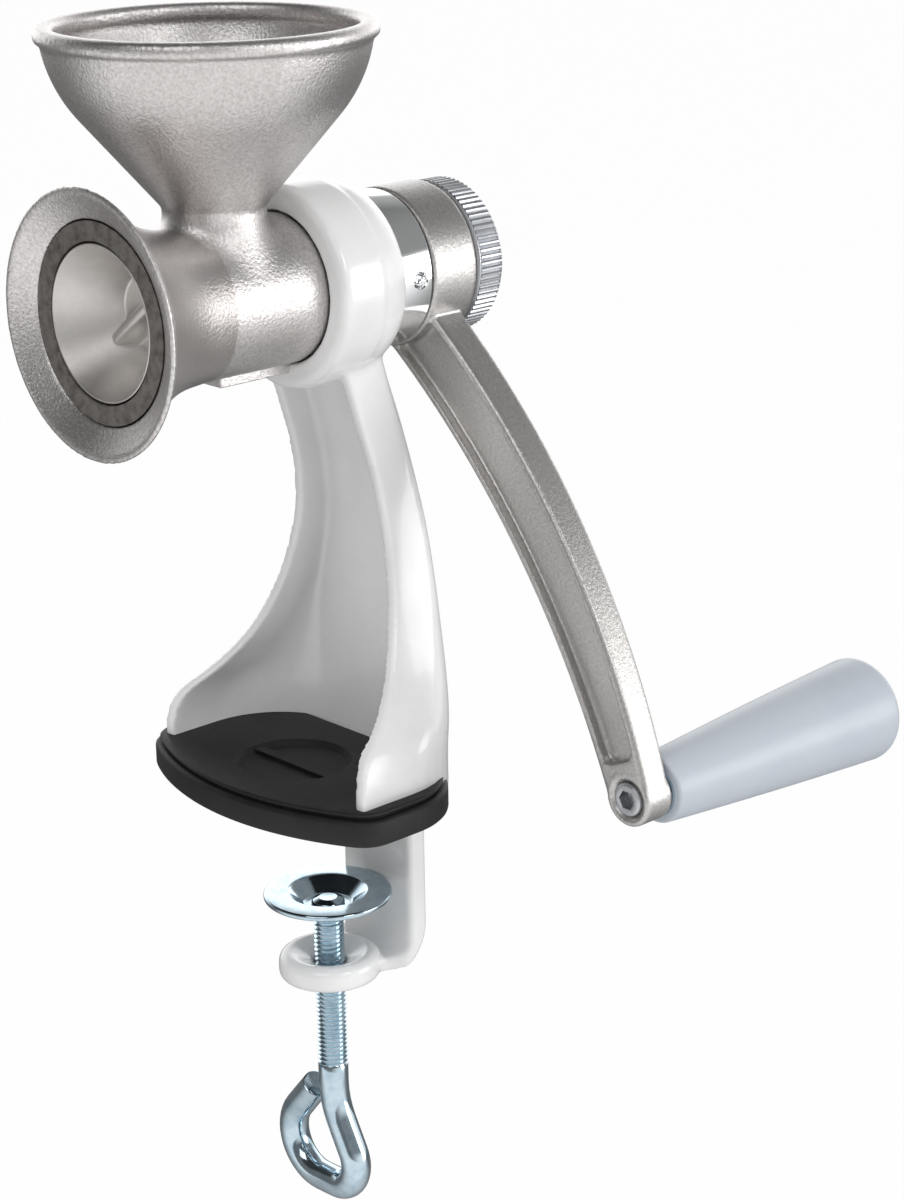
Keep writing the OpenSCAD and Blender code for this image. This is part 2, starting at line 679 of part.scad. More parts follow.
module grip_retainer() color("gray") grip_turned([
    [pin_r + seat_gap, retainer_y], [pin_washer_r, retainer_y], [pin_washer_r, retainer_y + 0.8],
    [pin_r + seat_gap, retainer_y + 1.6]]);

module grip_cap() color([0.74, 0.77, 0.8]) grip_turned([
    [0, grip_end_y - cap_h], [pocket_r, grip_end_y - cap_h], [pocket_r, grip_end_y - 0.4],
    [pocket_r - 1.5, grip_end_y], [0, grip_end_y]]);

// ---- Clamp screw and swivel plate --------------------------------------------------------------

plate_t = 1.6;
cup_r = 10.5;
cup_floor_r = 6.5;
cup_depth = 3.7;
neck_pin_r = 3;
swivel_gap = 0.08;          // radial clearance of the plate on the screw's neck
cup_z = -jaw_rest - cup_depth;
shoulder_z = cup_z - 2.05;

module swivel_plate() color("lightsteelblue") rotate_extrude() polygon([
    [neck_pin_r + swivel_gap, cup_z], [cup_floor_r, cup_z], [cup_r, -jaw_rest], [plate_r - 0.4, -jaw_rest],
    [plate_r, -jaw_rest - 0.4], [plate_r, -jaw_rest - plate_t], [cup_r + 1.2, -jaw_rest - plate_t - 0.2],
    [cup_floor_r + 1.4, cup_z - 2], [neck_pin_r + swivel_gap, cup_z - 2]]);

tip_r = 4.6;                // peened head of the screw inside the cup
tip_h = 1.8;
eye_z = -85.4;              // where the rod leaves the screw's axis
eye_moves = [[0.6, 21.5, 29], [9, 8, -116.6], [6.2, 10.9, -132], [12.2, 1, 0]];
bend_step = 12;
rod_sides = 16;

// Stations [x, z, heading] of a rod bent in X and Z. Each move is [straight length, bend radius, bend
// angle]; a heading of 0 is straight down, and a positive bend turns towards +X
function bent_path(moves, i = 0, p = [0, eye_z], a = 0) =
    i == len(moves) ? [[p[0], p[1], a]] :
    let (m = moves[i], q = p + m[0] * [sin(a), -cos(a)], side = sign(m[2]),
         c = q + m[1] * side * [cos(a), sin(a)], n = ceil(abs(m[2]) / bend_step), e = a + m[2])
    concat([[p[0], p[1], a]],
           [for (k = [0:1:n - 1])
               let (b = a + m[2] * k / n, s = c - m[1] * side * [cos(b), sin(b)]) [s[0], s[1], b]],
           bent_path(moves, i + 1, c - m[1] * side * [cos(e), sin(e)], e));

// Round section of the rod at one station
function rod_section(s, r) =
    [for (j = [0:rod_sides - 1]) let (b = j * 360 / rod_sides)
        [s[0] + r * cos(b) * cos(s[2]), -r * sin(b), s[1] + r * cos(b) * sin(s[2])]];

module clamp_screw() color("lightsteelblue") {
    rotate_extrude() polygon([
        [0, eye_z], [screw_r, eye_z], [screw_r, shoulder_z], [neck_pin_r, shoulder_z],
        [neck_pin_r, cup_z + face_gap], [tip_r, cup_z + face_gap], [tip_r - 0.2, cup_z + 0.8],
        [tip_r - 1.4, cup_z + 1.5], [0, cup_z + tip_h]]);
    swept([for (s = bent_path(eye_moves)) rod_section(s, screw_r - 0.02)]);
}

// ---- Assembly ----------------------------------------------------------------------------------

mill_body();
grinding_ring();
ring_dowels();
grinding_cone();
cone_pin();
feed_worm();
worm_pin();
drive_shaft();
preload_spring();
spring_washer();
shaft_seal();
bearing_bush();
ring_nut();
thrust_washer();
stand();
table_pad();
crank_arm();
nut_washer();
adjusting_nut();
grip_pin();
grip_washer();
grip();
grip_retainer();
grip_cap();
swivel_plate();
clamp_screw();
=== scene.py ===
"""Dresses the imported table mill: castings, turned parts, thread, enamel, rubber and studio light."""

import logging
import math
from dataclasses import dataclass, field
from enum import Enum
from functools import reduce
from typing import Callable, Iterable, Sequence

import bpy
from mathutils import Matrix, Vector


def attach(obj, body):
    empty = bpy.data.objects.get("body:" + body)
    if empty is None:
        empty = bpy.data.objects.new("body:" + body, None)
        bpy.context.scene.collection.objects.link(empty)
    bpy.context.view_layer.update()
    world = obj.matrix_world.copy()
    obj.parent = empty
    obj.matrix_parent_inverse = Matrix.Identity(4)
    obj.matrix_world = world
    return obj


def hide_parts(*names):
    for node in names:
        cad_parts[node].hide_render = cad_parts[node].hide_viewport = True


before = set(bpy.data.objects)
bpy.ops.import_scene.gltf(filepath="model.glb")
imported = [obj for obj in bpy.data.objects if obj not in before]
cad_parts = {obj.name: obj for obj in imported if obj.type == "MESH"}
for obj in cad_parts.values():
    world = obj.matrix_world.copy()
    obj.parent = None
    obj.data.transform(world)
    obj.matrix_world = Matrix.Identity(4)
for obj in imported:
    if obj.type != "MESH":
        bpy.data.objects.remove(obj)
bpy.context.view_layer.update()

MM = 0.001
AXIS_H = 130.0              # height of the barrel axis above the table, in millimetres
HOPPER_Y = -28.0            # where the hopper's axis crosses the barrel
ARC_STEP = math.radians(12)
ARC_LENGTH = 1.3            # longest straight piece of an arc, in millimetres
DOUBLES = 1e-6              # points closer than this become one, in metres
CAST_SHARE = 0.5            # share of a casting's faces that stays
WHITE = (1.0, 1.0, 1.0, 1.0)

log = logging.getLogger("mill")

Point = tuple[float, float]
Corner = tuple[float, float, float]
Piece = bpy.types.Object
Tree = bpy.types.NodeTree
Socket = bpy.types.NodeSocket


# ---- Workbench: selecting, turning, cutting and joining -------------------------------------------


class Cut(Enum):
    """What a boolean modifier does with its tool."""

    REMOVE = "DIFFERENCE"
    JOIN = "UNION"
    KEEP = "INTERSECT"


class Solver(Enum):
    """How a boolean modifier works out its cut."""

    EXACT = "EXACT"             # takes any solid
    MANIFOLD = "MANIFOLD"       # takes closed solids, and keeps a thread of many faces whole


class Plane(Enum):
    """A plane for flat outlines, by the number of the axis that runs out of it."""

    SIDE = 0        # points are Y and Z
    BARREL = 1      # points are X and Z from the barrel's axis
    LEVEL = 2       # points are X and Y

    def at(self, point: Point, place: float) -> Vector:
        """Point of an outline at a place along the axis, from millimetres to metres."""
        a, b = point
        return Vector(((place, a, b), (a, place, AXIS_H + b), (a, b, place))[self.value]) * MM

    def out(self, distance: float) -> Vector:
        """Move along the axis, from millimetres to metres."""
        return Vector([distance * MM if axis == self.value else 0 for axis in range(3)])


@dataclass(frozen=True)
class Spindle:
    """An axis that profiles are turned about, in metres."""

    origin: Vector
    along: Vector
    out: Vector

    def at(self, radius: float, place: float) -> Vector:
        """Point at a radius and a place along the axis, both in millimetres."""
        return self.origin + self.out * (radius * MM) + self.along * (place * MM)


MILL = Spindle(Vector((0, 0, AXIS_H * MM)), Vector((0, 1, 0)), Vector((1, 0, 0)))
HOPPER = Spindle(Vector((0, HOPPER_Y * MM, AXIS_H * MM)), Vector((0, 0, 1)), Vector((1, 0, 0)))
SCREW = Spindle(Vector((0, 0, 0)), Vector((0, 0, 1)), Vector((1, 0, 0)))


def only(obj: Piece) -> None:
    """Select one object and make it active."""
    bpy.ops.object.select_all(action="DESELECT")
    obj.select_set(True)
    bpy.context.view_layer.objects.active = obj


def edit(obj: Piece, *steps: Callable[[], object], whole: bool = True) -> None:
    """Run edit-mode steps on one object.

    Args:
        obj: The object to shape.
        steps: Functions that call mesh operators, in order.
        whole: Whether everything is selected before the first step.
    """
    only(obj)
    bpy.ops.object.mode_set(mode="EDIT")
    if whole:
        bpy.ops.mesh.select_all(action="SELECT")
    for step in steps:
        step()
    bpy.ops.object.mode_set(mode="OBJECT")


def tidy(obj: Piece) -> None:
    """Merge doubles and point every face outwards."""
    edit(obj, lambda: bpy.ops.mesh.remove_doubles(threshold=DOUBLES),
         lambda: bpy.ops.mesh.normals_make_consistent(inside=False))


def shaped(name: str, points: Iterable[Vector]) -> Piece:
    """Name the new primitive and move its corners to their places.

    Args:
        name: Its name.
        points: The places, in metres and in the order of its corners.

    Returns:
        The object.
    """
    obj = bpy.context.object
    obj.name = obj.data.name = name
    for vertex, point in zip(obj.data.vertices, points):
        vertex.co = point
    return obj


def loop(name: str, points: Sequence[Vector]) -> Piece:
    """Closed loop of edges, from a circle primitive.

    Args:
        name: Name of the new object.
        points: Places of the corners, in metres.

    Returns:
        The new object.
    """
    bpy.ops.object.select_all(action="DESELECT")
    bpy.ops.mesh.primitive_circle_add(vertices=len(points), location=(0, 0, 0))
    return shaped(name, points)


def unclose(obj: Piece) -> None:
    """Delete the edge between a loop's last point and its first.

    Args:
        obj: The loop.
    """
    ends = {0, len(obj.data.vertices) - 1}
    for group in (obj.data.vertices, obj.data.polygons, obj.data.edges):
        for item in group:
            item.select = False
    for edge in obj.data.edges:
        edge.select = set(edge.vertices) == ends
    bpy.context.tool_settings.mesh_select_mode = (False, True, False)
    edit(obj, lambda: bpy.ops.mesh.delete(type="EDGE"), whole=False)


def lathe(name: str, spindle: Spindle, profile: Sequence[Point | Corner], steps: int = 144) -> Piece:
    """Turn a profile about a spindle.

    Args:
        name: Name of the new object.
        spindle: The axis.
        profile: Radius and place of each corner, and its rounding where it has one. The profile is
            open if both ends lie on the axis.
        steps: Faces round the axis.

    Returns:
        The turned solid.
    """
    points = rounded(profile)
    obj = loop(name, [spindle.at(radius, place) for radius, place in points])
    if points[0][0] == 0 and points[-1][0] == 0:
        unclose(obj)
    edit(obj, lambda: bpy.ops.mesh.spin(steps=steps, angle=math.tau, center=spindle.origin,
                                        axis=spindle.along))
    tidy(obj)
    return obj


def plate(name: str, plane: Plane, points: Sequence[Point], start: float, end: float) -> Piece:
    """Flat outline given a thickness.

    Args:
        name: Name of the new object.
        plane: The plane of the outline.
        points: Corners of the outline.
        start: Place of its first face along the axis out of the plane.
        end: Place of its other face.

    Returns:
        The solid.
    """
    obj = loop(name, [plane.at(point, start) for point in points])
    depth = plane.out(end - start)
    edit(obj, lambda: bpy.ops.mesh.edge_face_add(),
         lambda: bpy.ops.mesh.extrude_region_move(TRANSFORM_OT_translate={"value": depth}))
    tidy(obj)
    return obj


def box(across: Point, along: Point) -> list[Point]:
    """Corners of a rectangle, from its reach in the plane's two ways."""
    return [(across[0], along[0]), (across[1], along[0]), (across[1], along[1]), (across[0], along[1])]


def seal(obj: Piece, gap: float = DOUBLES) -> None:
    """Close a skin: join its rows, fill its ends and point its faces outwards.

    Args:
        obj: The open skin.
        gap: Points closer than this become one, in metres.
    """
    edit(obj, lambda: bpy.ops.mesh.remove_doubles(threshold=gap),
         lambda: bpy.ops.mesh.select_all(action="DESELECT"),
         lambda: bpy.ops.mesh.select_non_manifold(),
         lambda: bpy.ops.mesh.fill_holes(sides=0))
    tidy(obj)


def skin(name: str, rows: Sequence[Sequence[Vector]]) -> Piece:
    """Closed solid through rings of points, from a grid primitive whose long sides are joined.

    Args:
        name: Name of the new object.
        rows: Rings with the same number of points each, in order.

    Returns:
        The solid, with both ends filled.
    """
    around = len(rows[0])
    bpy.ops.object.select_all(action="DESELECT")
    bpy.ops.mesh.primitive_grid_add(x_subdivisions=around, y_subdivisions=len(rows) - 1)
    obj = shaped(name, [point for row in rows for point in (*row, row[0])])
    seal(obj)
    return obj


def apply(obj: Piece, kind: str, **settings: object) -> None:
    """Add a modifier and apply it at once.

    Args:
        obj: The object.
        kind: Blender's name for the modifier's type.
        settings: Its properties and their values.
    """
    modifier = obj.modifiers.new(kind.lower(), kind)
    for key, value in settings.items():
        setattr(modifier, key, value)
    only(obj)
    bpy.ops.object.modifier_apply(modifier=modifier.name)


def combine(obj: Piece, tool: Piece, how: Cut, solver: Solver = Solver.EXACT) -> None:
    """Cut or join one solid with another, and delete the tool."""
    apply(obj, "BOOLEAN", operation=how.value, solver=solver.value, object=tool)
    bpy.data.objects.remove(tool)


def drill(obj: Piece, spindle: Spindle, radius: float, start: float, end: float, steps: int = 64) -> None:
    """Bore a round hole along a spindle, between two places."""
    bit = lathe("drill", spindle, [(0, start), (radius, start), (radius, end), (0, end)], steps)
    combine(obj, bit, Cut.REMOVE)


def merge(obj: Piece, *others: Piece) -> Piece:
    """Put several solids in one object without cutting them.

    Args:
        obj: The solid that takes the others.
        others: The others, which end.

    Returns:
        The first solid.
    """
    only(obj)
    for other in others:
        other.select_set(True)
    bpy.ops.object.join()
    return obj


def cast(obj: Piece, voxel: float, rounds: int) -> None:
    """Turn overlapping solids into one casting with soft edges.

    Args:
        obj: The merged solids.
        voxel: Grid size in millimetres, which is also about the edge radius.
        rounds: How many times the surface is relaxed.
    """
    apply(obj, "REMESH", mode="VOXEL", voxel_size=voxel * MM, use_smooth_shade=True)
    apply(obj, "SMOOTH", factor=0.5, iterations=rounds)
    apply(obj, "DECIMATE", ratio=CAST_SHARE)


def bevel(obj: Piece, width: float, segments: int = 3, angle: float = 30) -> None:
    """Round every edge sharper than an angle, with a width in millimetres."""
    apply(obj, "BEVEL", width=width * MM, segments=segments, limit_method="ANGLE",
          angle_limit=math.radians(angle), miter_outer="MITER_ARC", use_clamp_overlap=True)


def soften(obj: Piece, angle: float = 35) -> None:
    """Shade smooth over edges that are flatter than an angle."""
    only(obj)
    bpy.ops.object.shade_smooth_by_angle(angle=math.radians(angle))


def arc(centre: Point, radius: float, start: float, end: float) -> list[Point]:
    """Points of an arc.

    Args:
        centre: Its centre.
        radius: Its radius.
        start: Angle where it starts, in degrees.
        end: Angle where it ends.

    Returns:
        The points, both ends included.
    """
    a, b = math.radians(start), math.radians(end)
    steps = max(2, math.ceil(abs(b - a) / ARC_STEP), math.ceil(abs(b - a) * radius / ARC_LENGTH))
    angles = [a + (b - a) * i / steps for i in range(steps + 1)]
    return [(centre[0] + radius * math.cos(t), centre[1] + radius * math.sin(t)) for t in angles]


def rounded(corners: Sequence[Point | Corner]) -> list[Point]:
    """Round the corners of a closed outline.

    Args:
        corners: The two places of each corner, and its radius if it isn't sharp.

    Returns:
        The points of the rounded outline.
    """
    points: list[Point] = []
    for i, (x, y, *radius) in enumerate(corners):
        if not radius:
            points.append((x, y))
            continue
        here = Vector((x, y))
        before = (Vector(corners[i - 1][:2]) - here).normalized()
        after = (Vector(corners[(i + 1) % len(corners)][:2]) - here).normalized()
        half = before.angle(after) / 2
        centre = here + (before + after).normalized() * (radius[0] / math.sin(half))
        first = here + before * (radius[0] / math.tan(half)) - centre
        last = here + after * (radius[0] / math.tan(half)) - centre
        turn = first.angle_signed(last)
        steps = max(2, math.ceil(abs(turn) / ARC_STEP))
        for k in range(steps + 1):
            spot = first.copy()
            spot.rotate(Matrix.Rotation(-turn * k / steps, 2))
            points.append(tuple(centre + spot))
    return points


# ---- Finishes -------------------------------------------------------------------------------------


def linear(hex_code: str) -> tuple[float, float, float, float]:
    """Turn an sRGB hex colour to the linear one that a shader takes."""
    parts = [int(hex_code[i:i + 2], 16) / 255 for i in (1, 3, 5)]
    return (*[c / 12.92 if c <= 0.04045 else ((c + 0.055) / 1.055) ** 2.4 for c in parts], 1.0)


def add_node(tree: Tree, kind: str, settings: dict | None = None,
             links: dict | None = None) -> bpy.types.Node:
    """Add a node, with its properties, input values and links.

    Args:
        tree: The tree that takes the node.
        kind: The node's class name after "ShaderNode".
        settings: Property names, or input names or numbers, and their values.
        links: Input names or numbers, and the sockets that feed them.

    Returns:
        The new node.
    """
    node = tree.nodes.new("ShaderNode" + kind)
    for key, value in (settings or {}).items():
        if isinstance(key, str) and hasattr(node, key):
            setattr(node, key, value)
        else:
            node.inputs[key].default_value = value
    for key, source in (links or {}).items():
        tree.links.new(source, node.inputs[key])
    return node


class Pattern(Enum):
    """How a surface was made, which decides the lay of its grain."""

    BLASTED = (1, 1, 1)             # even in every direction
    TURNED = (0.05, 1, 0.05)        # fine rings round the barrel's axis
    TURNED_UP = (0.05, 0.05, 1)     # fine rings round a vertical axis


@dataclass(frozen=True)
class Finish:
    """A surface: its colour, its gloss, and a fine grain over a broad mottle."""

    name: str
    slot: str
    colour: str
    shade: str                      # the darker colour that the mottle mixes in
    metallic: float
    roughness: float
    spread: float = 0.05            # how far the roughness wanders
    grain: float = 0.5              # grain size in millimetres
    depth: float = 0.02             # height of the grain in millimetres
    speckle: float = 0.35           # how much of the shade the grain takes
    mottle: float = 9.0             # size of the broad patches in millimetres
    patchy: float = 1.0             # how much of the shade the patches take
    coat: float = 0.0
    ior: float = 1.45
    pattern: Pattern = Pattern.BLASTED
    painted_shade: str = ""                  # colour of the painted shade on the barrel's wider part, if it has one

    def build(self) -> bpy.types.Material:
        """Make the node material, or find it if it is already there.

        Returns:
            The material.
        """
        done = bpy.data.materials.get(self.name)
        if done:
            return done
        material = bpy.data.materials.new(self.name)
        material.use_nodes = True
        tree = material.node_tree
        tree.nodes.clear()
        place = add_node(tree, "TexCoord").outputs["Object"]
        lay = add_node(tree, "Mapping", {"Scale": self.pattern.value}, {"Vector": place}).outputs["Vector"]
        fine = {"Scale": 1 / (self.grain * MM), "Detail": 3.0, "Roughness": 0.6}
        broad = {"Scale": 1 / (self.mottle * MM), "Detail": 4.0, "Roughness": 0.55}
        grain = add_node(tree, "TexNoise", fine, {"Vector": lay}).outputs["Fac"]
        patch = add_node(tree, "TexNoise", broad, {"Vector": place}).outputs["Fac"]
        shares = []
        for noise, low, high, most in ((patch, 0.35, 0.72, self.patchy), (grain, 0.3, 0.7, self.speckle)):
            ramp = {"From Min": low, "From Max": high, "To Max": most}
            shares.append(add_node(tree, "MapRange", ramp, {"Value": noise}).outputs["Result"])
        share = add_node(tree, "Math", {"operation": "MAXIMUM"}, dict(enumerate(shares))).outputs["Value"]
        colour = add_node(tree, "Mix", {"data_type": "RGBA", 6: linear(self.colour), 7: linear(self.shade)},
                          {0: share}).outputs[2]
        # Painted shade: the barrel's wider part is darkened, weaker towards its top, in place of the darker
        # reflection of its cone
        if self.painted_shade:
            colour = add_node(tree, "Mix", {"data_type": "RGBA", 7: linear(self.painted_shade)},
                              {0: painted_shade_mask(tree, place), 6: colour}).outputs[2]
        gloss = add_node(tree, "MapRange", {"To Min": self.roughness - self.spread,
                                            "To Max": self.roughness + self.spread}, {"Value": grain})
        bump = add_node(tree, "Bump", {"Strength": 1.0, "Distance": self.depth * MM}, {"Height": grain})
        shader = add_node(tree, "BsdfPrincipled",
                          {"Metallic": self.metallic, "Coat Weight": self.coat, "Coat Roughness": 0.05},
                          {"Base Color": colour, "Roughness": gloss.outputs["Result"],
                           "Normal": bump.outputs["Normal"]})
        if self.metallic < 0.5:
            shader.inputs["IOR"].default_value = self.ior
        add_node(tree, "OutputMaterial", links={"Surface": shader.outputs["BSDF"]})
        return material


# Axis, start, end, level at the start and level at the end of each bound of the painted shade on the barrel's
# wide part
PAINTED_SHADE_BOUNDS = (("Y", -37.1, -36.5, 1.0, 0.0), ("Y", -63.0, -61.8, 0.0, 1.0), ("Z", 143.0, 149.0, 0.9, 0.2))


def painted_shade_mask(tree: Tree, place: Socket) -> Socket:
    """Mask of the painted shade: 1 on the outside of the barrel in front of its crease, weaker towards its
    top, and 0 elsewhere.

    Args:
        tree: The tree that takes the nodes.
        place: The object coordinates.

    Returns:
        The mask's socket.
    """
    split = add_node(tree, "SeparateXYZ", links={"Vector": place})
    ramps = []
    for axis, start, end, low, high in PAINTED_SHADE_BOUNDS:
        ramp = {"From Min": start * MM, "From Max": end * MM, "To Min": low, "To Max": high}
        ramps.append(add_node(tree, "MapRange", ramp, {"Value": split.outputs[axis]}).outputs["Result"])
    times = {"operation": "MULTIPLY"}
    return reduce(lambda a, b: add_node(tree, "Math", times, {0: a, 1: b}).outputs[0], ramps)


# Bead-blasted cast aluminium: a satin grey with a sparkling grain, with painted shade where the barrel
# widens, standing in for the darker reflection of its slight cone. The real grit marks are about 0.2 mm, too
# fine to show, so they are drawn at 0.75 mm
BLASTED_ALUMINIUM = Finish("blasted_cast_aluminium", "cast_aluminium", "#E2DFDE", "#B3AFAD", 1.0, 0.36,
                           grain=0.75, depth=0.17, speckle=0.75, patchy=0.15, painted_shade="#B4AFAD")
# Satin cast aluminium of the crank, tumbled after casting: lower grain, faint mottle
TUMBLED_ALUMINIUM = Finish("tumbled_cast_aluminium", "cast_aluminium", "#CFCDCB", "#A6A3A1", 1.0, 0.4,
                           grain=0.8, depth=0.1, speckle=0.6, mottle=14, patchy=0.3)
# Ground cast iron of the ring: dark, granular, with open graphite
GROUND_IRON = Finish("ground_cast_iron", "dark_iron", "#98938F", "#68635F", 1.0, 0.5, spread=0.1,
                     grain=0.5, depth=0.03, mottle=2.5)
# Tinned iron of the cone: pale, soft shine
TINNED_IRON = Finish("tinned_cast_iron", "tinned_iron", "#DAD7D4", "#C7C3C0", 1.0, 0.44, grain=0.7,
                     depth=0.02, mottle=12)
# Zinc plate with a clear blue passivation: mirror-bright, the blue showing in the mid tones
BLUE_ZINC = Finish("blue_passivated_zinc", "zinc_steel", "#C6D6DF", "#A9BFCC", 1.0, 0.12, spread=0.05,
                   grain=0.8, depth=0.005, mottle=3)
# Nickel plate on turned and knurled steel
NICKEL = Finish("nickel_plated_steel", "nickel_steel", "#C3C5C8", "#B0B2B6", 1.0, 0.36, grain=0.4,
                depth=0.01, mottle=5, pattern=Pattern.TURNED)
# Polished chrome of the ring nut: mirror with faint turning rings
CHROME = Finish("polished_chrome", "polished_chrome", "#D4D7DA", "#CACDD1", 1.0, 0.08, spread=0.02,
                grain=0.3, depth=0.0015, mottle=20, pattern=Pattern.TURNED)
# Baked white enamel over a casting: glossy, slightly uneven
WHITE_ENAMEL = Finish("white_baked_enamel", "white_enamel", "#E8E8E8", "#DEDEDE", 0.0, 0.2, spread=0.03,
                      grain=2.4, depth=0.05, mottle=25, coat=0.35, ior=1.5)
# Moulded rubber of the pad: nearly black, dull, with a fine mould texture
BLACK_RUBBER = Finish("moulded_black_rubber", "black_rubber", "#161616", "#0D0D0D", 0.0, 0.55, spread=0.06,
                      grain=0.6, depth=0.02, mottle=6, ior=1.45)
# Moulded nylon washer: black, with a soft shine
BLACK_NYLON = Finish("moulded_black_nylon", "black_nylon", "#101010", "#0B0B0B", 0.0, 0.45, grain=0.5,
                     depth=0.01, ior=1.53)
# Injection-moulded grip: cool grey with a satin skin
GREY_GRIP = Finish("moulded_grey_plastic", "grey_plastic", "#B9C0C8", "#B1B9C2", 0.0, 0.36, spread=0.03,
                   grain=0.9, depth=0.008, mottle=30, ior=1.48)
# Oil-filled sintered bronze of the bush
BRONZE = Finish("sintered_bronze", "bronze", "#A98B63", "#8E734E", 1.0, 0.45, grain=0.4, depth=0.01)


def dress(obj: Piece, finish: Finish) -> None:
    """Give an object one finish."""
    obj.data.materials.clear()
    obj.data.materials.append(finish.build())


def place_piece(obj: Piece, finish: Finish, body: str, *nodes: str) -> None:
    """Finish a piece, fix it to its body and let it stand for its nodes.

    Args:
        obj: The finished mesh.
        finish: Its surface.
        body: The body that carries it.
        nodes: The solids that it replaces.
    """
    dress(obj, finish)
    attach(obj, body)
    if nodes:
        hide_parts(*nodes)
    log.info("%s: %d faces on %s", obj.name, len(obj.data.polygons), body)


# ---- Mill body ------------------------------------------------------------------------------------


@dataclass
class MillBody:
    """The casting of hopper, neck, barrel, flare and tongue. Heights are above the barrel's axis."""

    neck_r: float = 12.3
    neck_h: float = 22.6
    neck_foot: float = 14.6
    web_w: float = 3.4              # width of the neck's web along the barrel's top
    web_more: float = 1.2           # how much wider it is at the barrel's sides
    cone_h: float = 21.0
    cone_slope: float = 40.7
    bowl_r: float = 34.5
    lip_slope: float = 9.0
    wall: float = 2.6
    rim_r: float = 39.75
    rim_in_r: float = 35.1
    rim_h: float = 65.0
    bead_h: float = 3.8
    throat_r: float = 7.3
    barrel_r: float = 18.3
    flare_r: float = 32.4
    rim_y: float = -66.6
    ring_y: float = -62.6
    seat_r: float = 23.85
    mouth_r: float = 23.9
    lip_r: float = 29.9
    shoulder_y: float = -9.8
    step_y: float = -36.8
    slope: float = 0.085
    trumpet_y: float = -42.0
    trumpet_power: float = 2.2
    # Radius and place of each corner of the tail, then of the chamber up to the ring's seat
    tail: tuple[Point, ...] = (
        (15.6, -4.6), (15.45, 12.5), (14.9, 12.7), (14.9, 22.5), (11.1, 22.5), (11.1, -5))
    chamber: tuple[Point, ...] = ((13.4, -5), (13.4, -47), (17.6, -47), (22.4, -59.8), (23.85, -59.8))
    tongue_x: Point = (-3.5, 3.5)
    tongue_y: Point = (-31.0, -5.0)
    tongue_z: Point = (-20.4, -16.0)
    voxel: float = 0.55

    def bowl_side(self, inward: float) -> list[Point]:
        """Side of the bowl from its foot to its rim.

        Args:
            inward: How far it is moved inwards.

        Returns:
            Radius and height of its points.
        """
        slope = math.radians(self.cone_slope)
        top = (self.neck_r + self.cone_h * math.tan(slope), self.neck_h + self.cone_h)
        centre = (top[0] - self.bowl_r * math.cos(slope), top[1] + self.bowl_r * math.sin(slope))
        foot = (self.neck_r - inward * math.cos(slope), self.neck_h + inward * math.sin(slope))
        return [foot, *arc(centre, self.bowl_r - inward, -self.cone_slope, -self.lip_slope)]

    def barrel_side(self, y: float) -> float:
        """Outer radius of the barrel and flare.

        Args:
            y: Place along the axis.

        Returns:
            The radius there.
        """
        cone = self.barrel_r + self.slope * max(self.step_y - y, 0)
        far = self.barrel_r + self.slope * (self.step_y - self.rim_y)
        share = max(self.trumpet_y - y, 0) / (self.trumpet_y - self.rim_y)
        return cone + (self.flare_r - far) * share ** self.trumpet_power

    def hopper(self) -> Piece:
        """Bowl with its rolled bead, open through the throat.

        Returns:
            The solid.
        """
        outer, inner = self.bowl_side(0), self.bowl_side(self.wall)
        edge_r, under = outer[-1][0], self.rim_h - self.bead_h
        bead = [(edge_r, under - 0.6), (edge_r + 0.1, under, 0.3), (self.rim_r, under, 1.1),
                (self.rim_r, self.rim_h, 1.8), (self.rim_in_r, self.rim_h, 1.7),
                (self.rim_in_r, under + 0.4, 0.7), (inner[-1][0], under - 0.4)]
        return lathe("hopper", HOPPER, [
            (self.neck_r, self.neck_foot), *outer, *bead, *reversed(inner),
            (self.throat_r, self.neck_h + 1), (self.throat_r, self.neck_foot)])

    def barrel(self) -> Piece:
        """Barrel and flare with the ring's seat, drilled under the throat.

        Returns:
            The solid.
        """
        edge_y = self.rim_y + 1.6
        steps = [edge_y + (self.trumpet_y - edge_y) * i / 16 for i in range(17)]
        obj = lathe("mill_casting", MILL, [
            (self.mouth_r, self.ring_y), (self.lip_r, self.rim_y + 0.4, 0.5),
            (self.flare_r - 1, self.rim_y, 0.6), (self.flare_r, self.rim_y + 0.9, 0.6),
            *[(self.barrel_side(y), y) for y in steps],
            *[(self.barrel_r, y) for y in (self.step_y, -26, -14, self.shoulder_y + 0.6)],
            *self.tail, *self.chamber, (self.seat_r, self.ring_y)], steps=160)
        drill(obj, HOPPER, self.throat_r, 8, 24)
        return obj

    def neck_web(self) -> Piece:
        """Fillet between neck and barrel, wider at the barrel's sides than along its top.

        Returns:
            The solid, a ring round the throat.
        """
        rows, around = 10, 96
        inside = self.throat_r + 0.3
        rings: list[list[Vector]] = []
        for row in range(-1, rows + 3):
            t = min(max(row / rows, 0), 1)
            ring = []
            for k in range(around):
                c, s = math.cos(math.tau * k / around), math.sin(math.tau * k / around)
                width = self.web_w + self.web_more * c * c
                edge = self.neck_r + width
                height = math.sqrt(self.barrel_r ** 2 - (edge * c) ** 2)
                knee = height + edge * c * c / height * width
                radius = (1 - t * t) * self.neck_r + t * t * edge
                level = (1 - t) ** 2 * (knee + width) + 2 * t * (1 - t) * knee + t * t * height
                if row > rows:
                    level = height - 3
                if row < 0 or row == rows + 2:
                    radius = inside
                ring.append(Vector((radius * c, HOPPER_Y + radius * s, AXIS_H + level)) * MM)
            rings.append(ring)
        return skin("neck_web", [*rings, rings[0]])

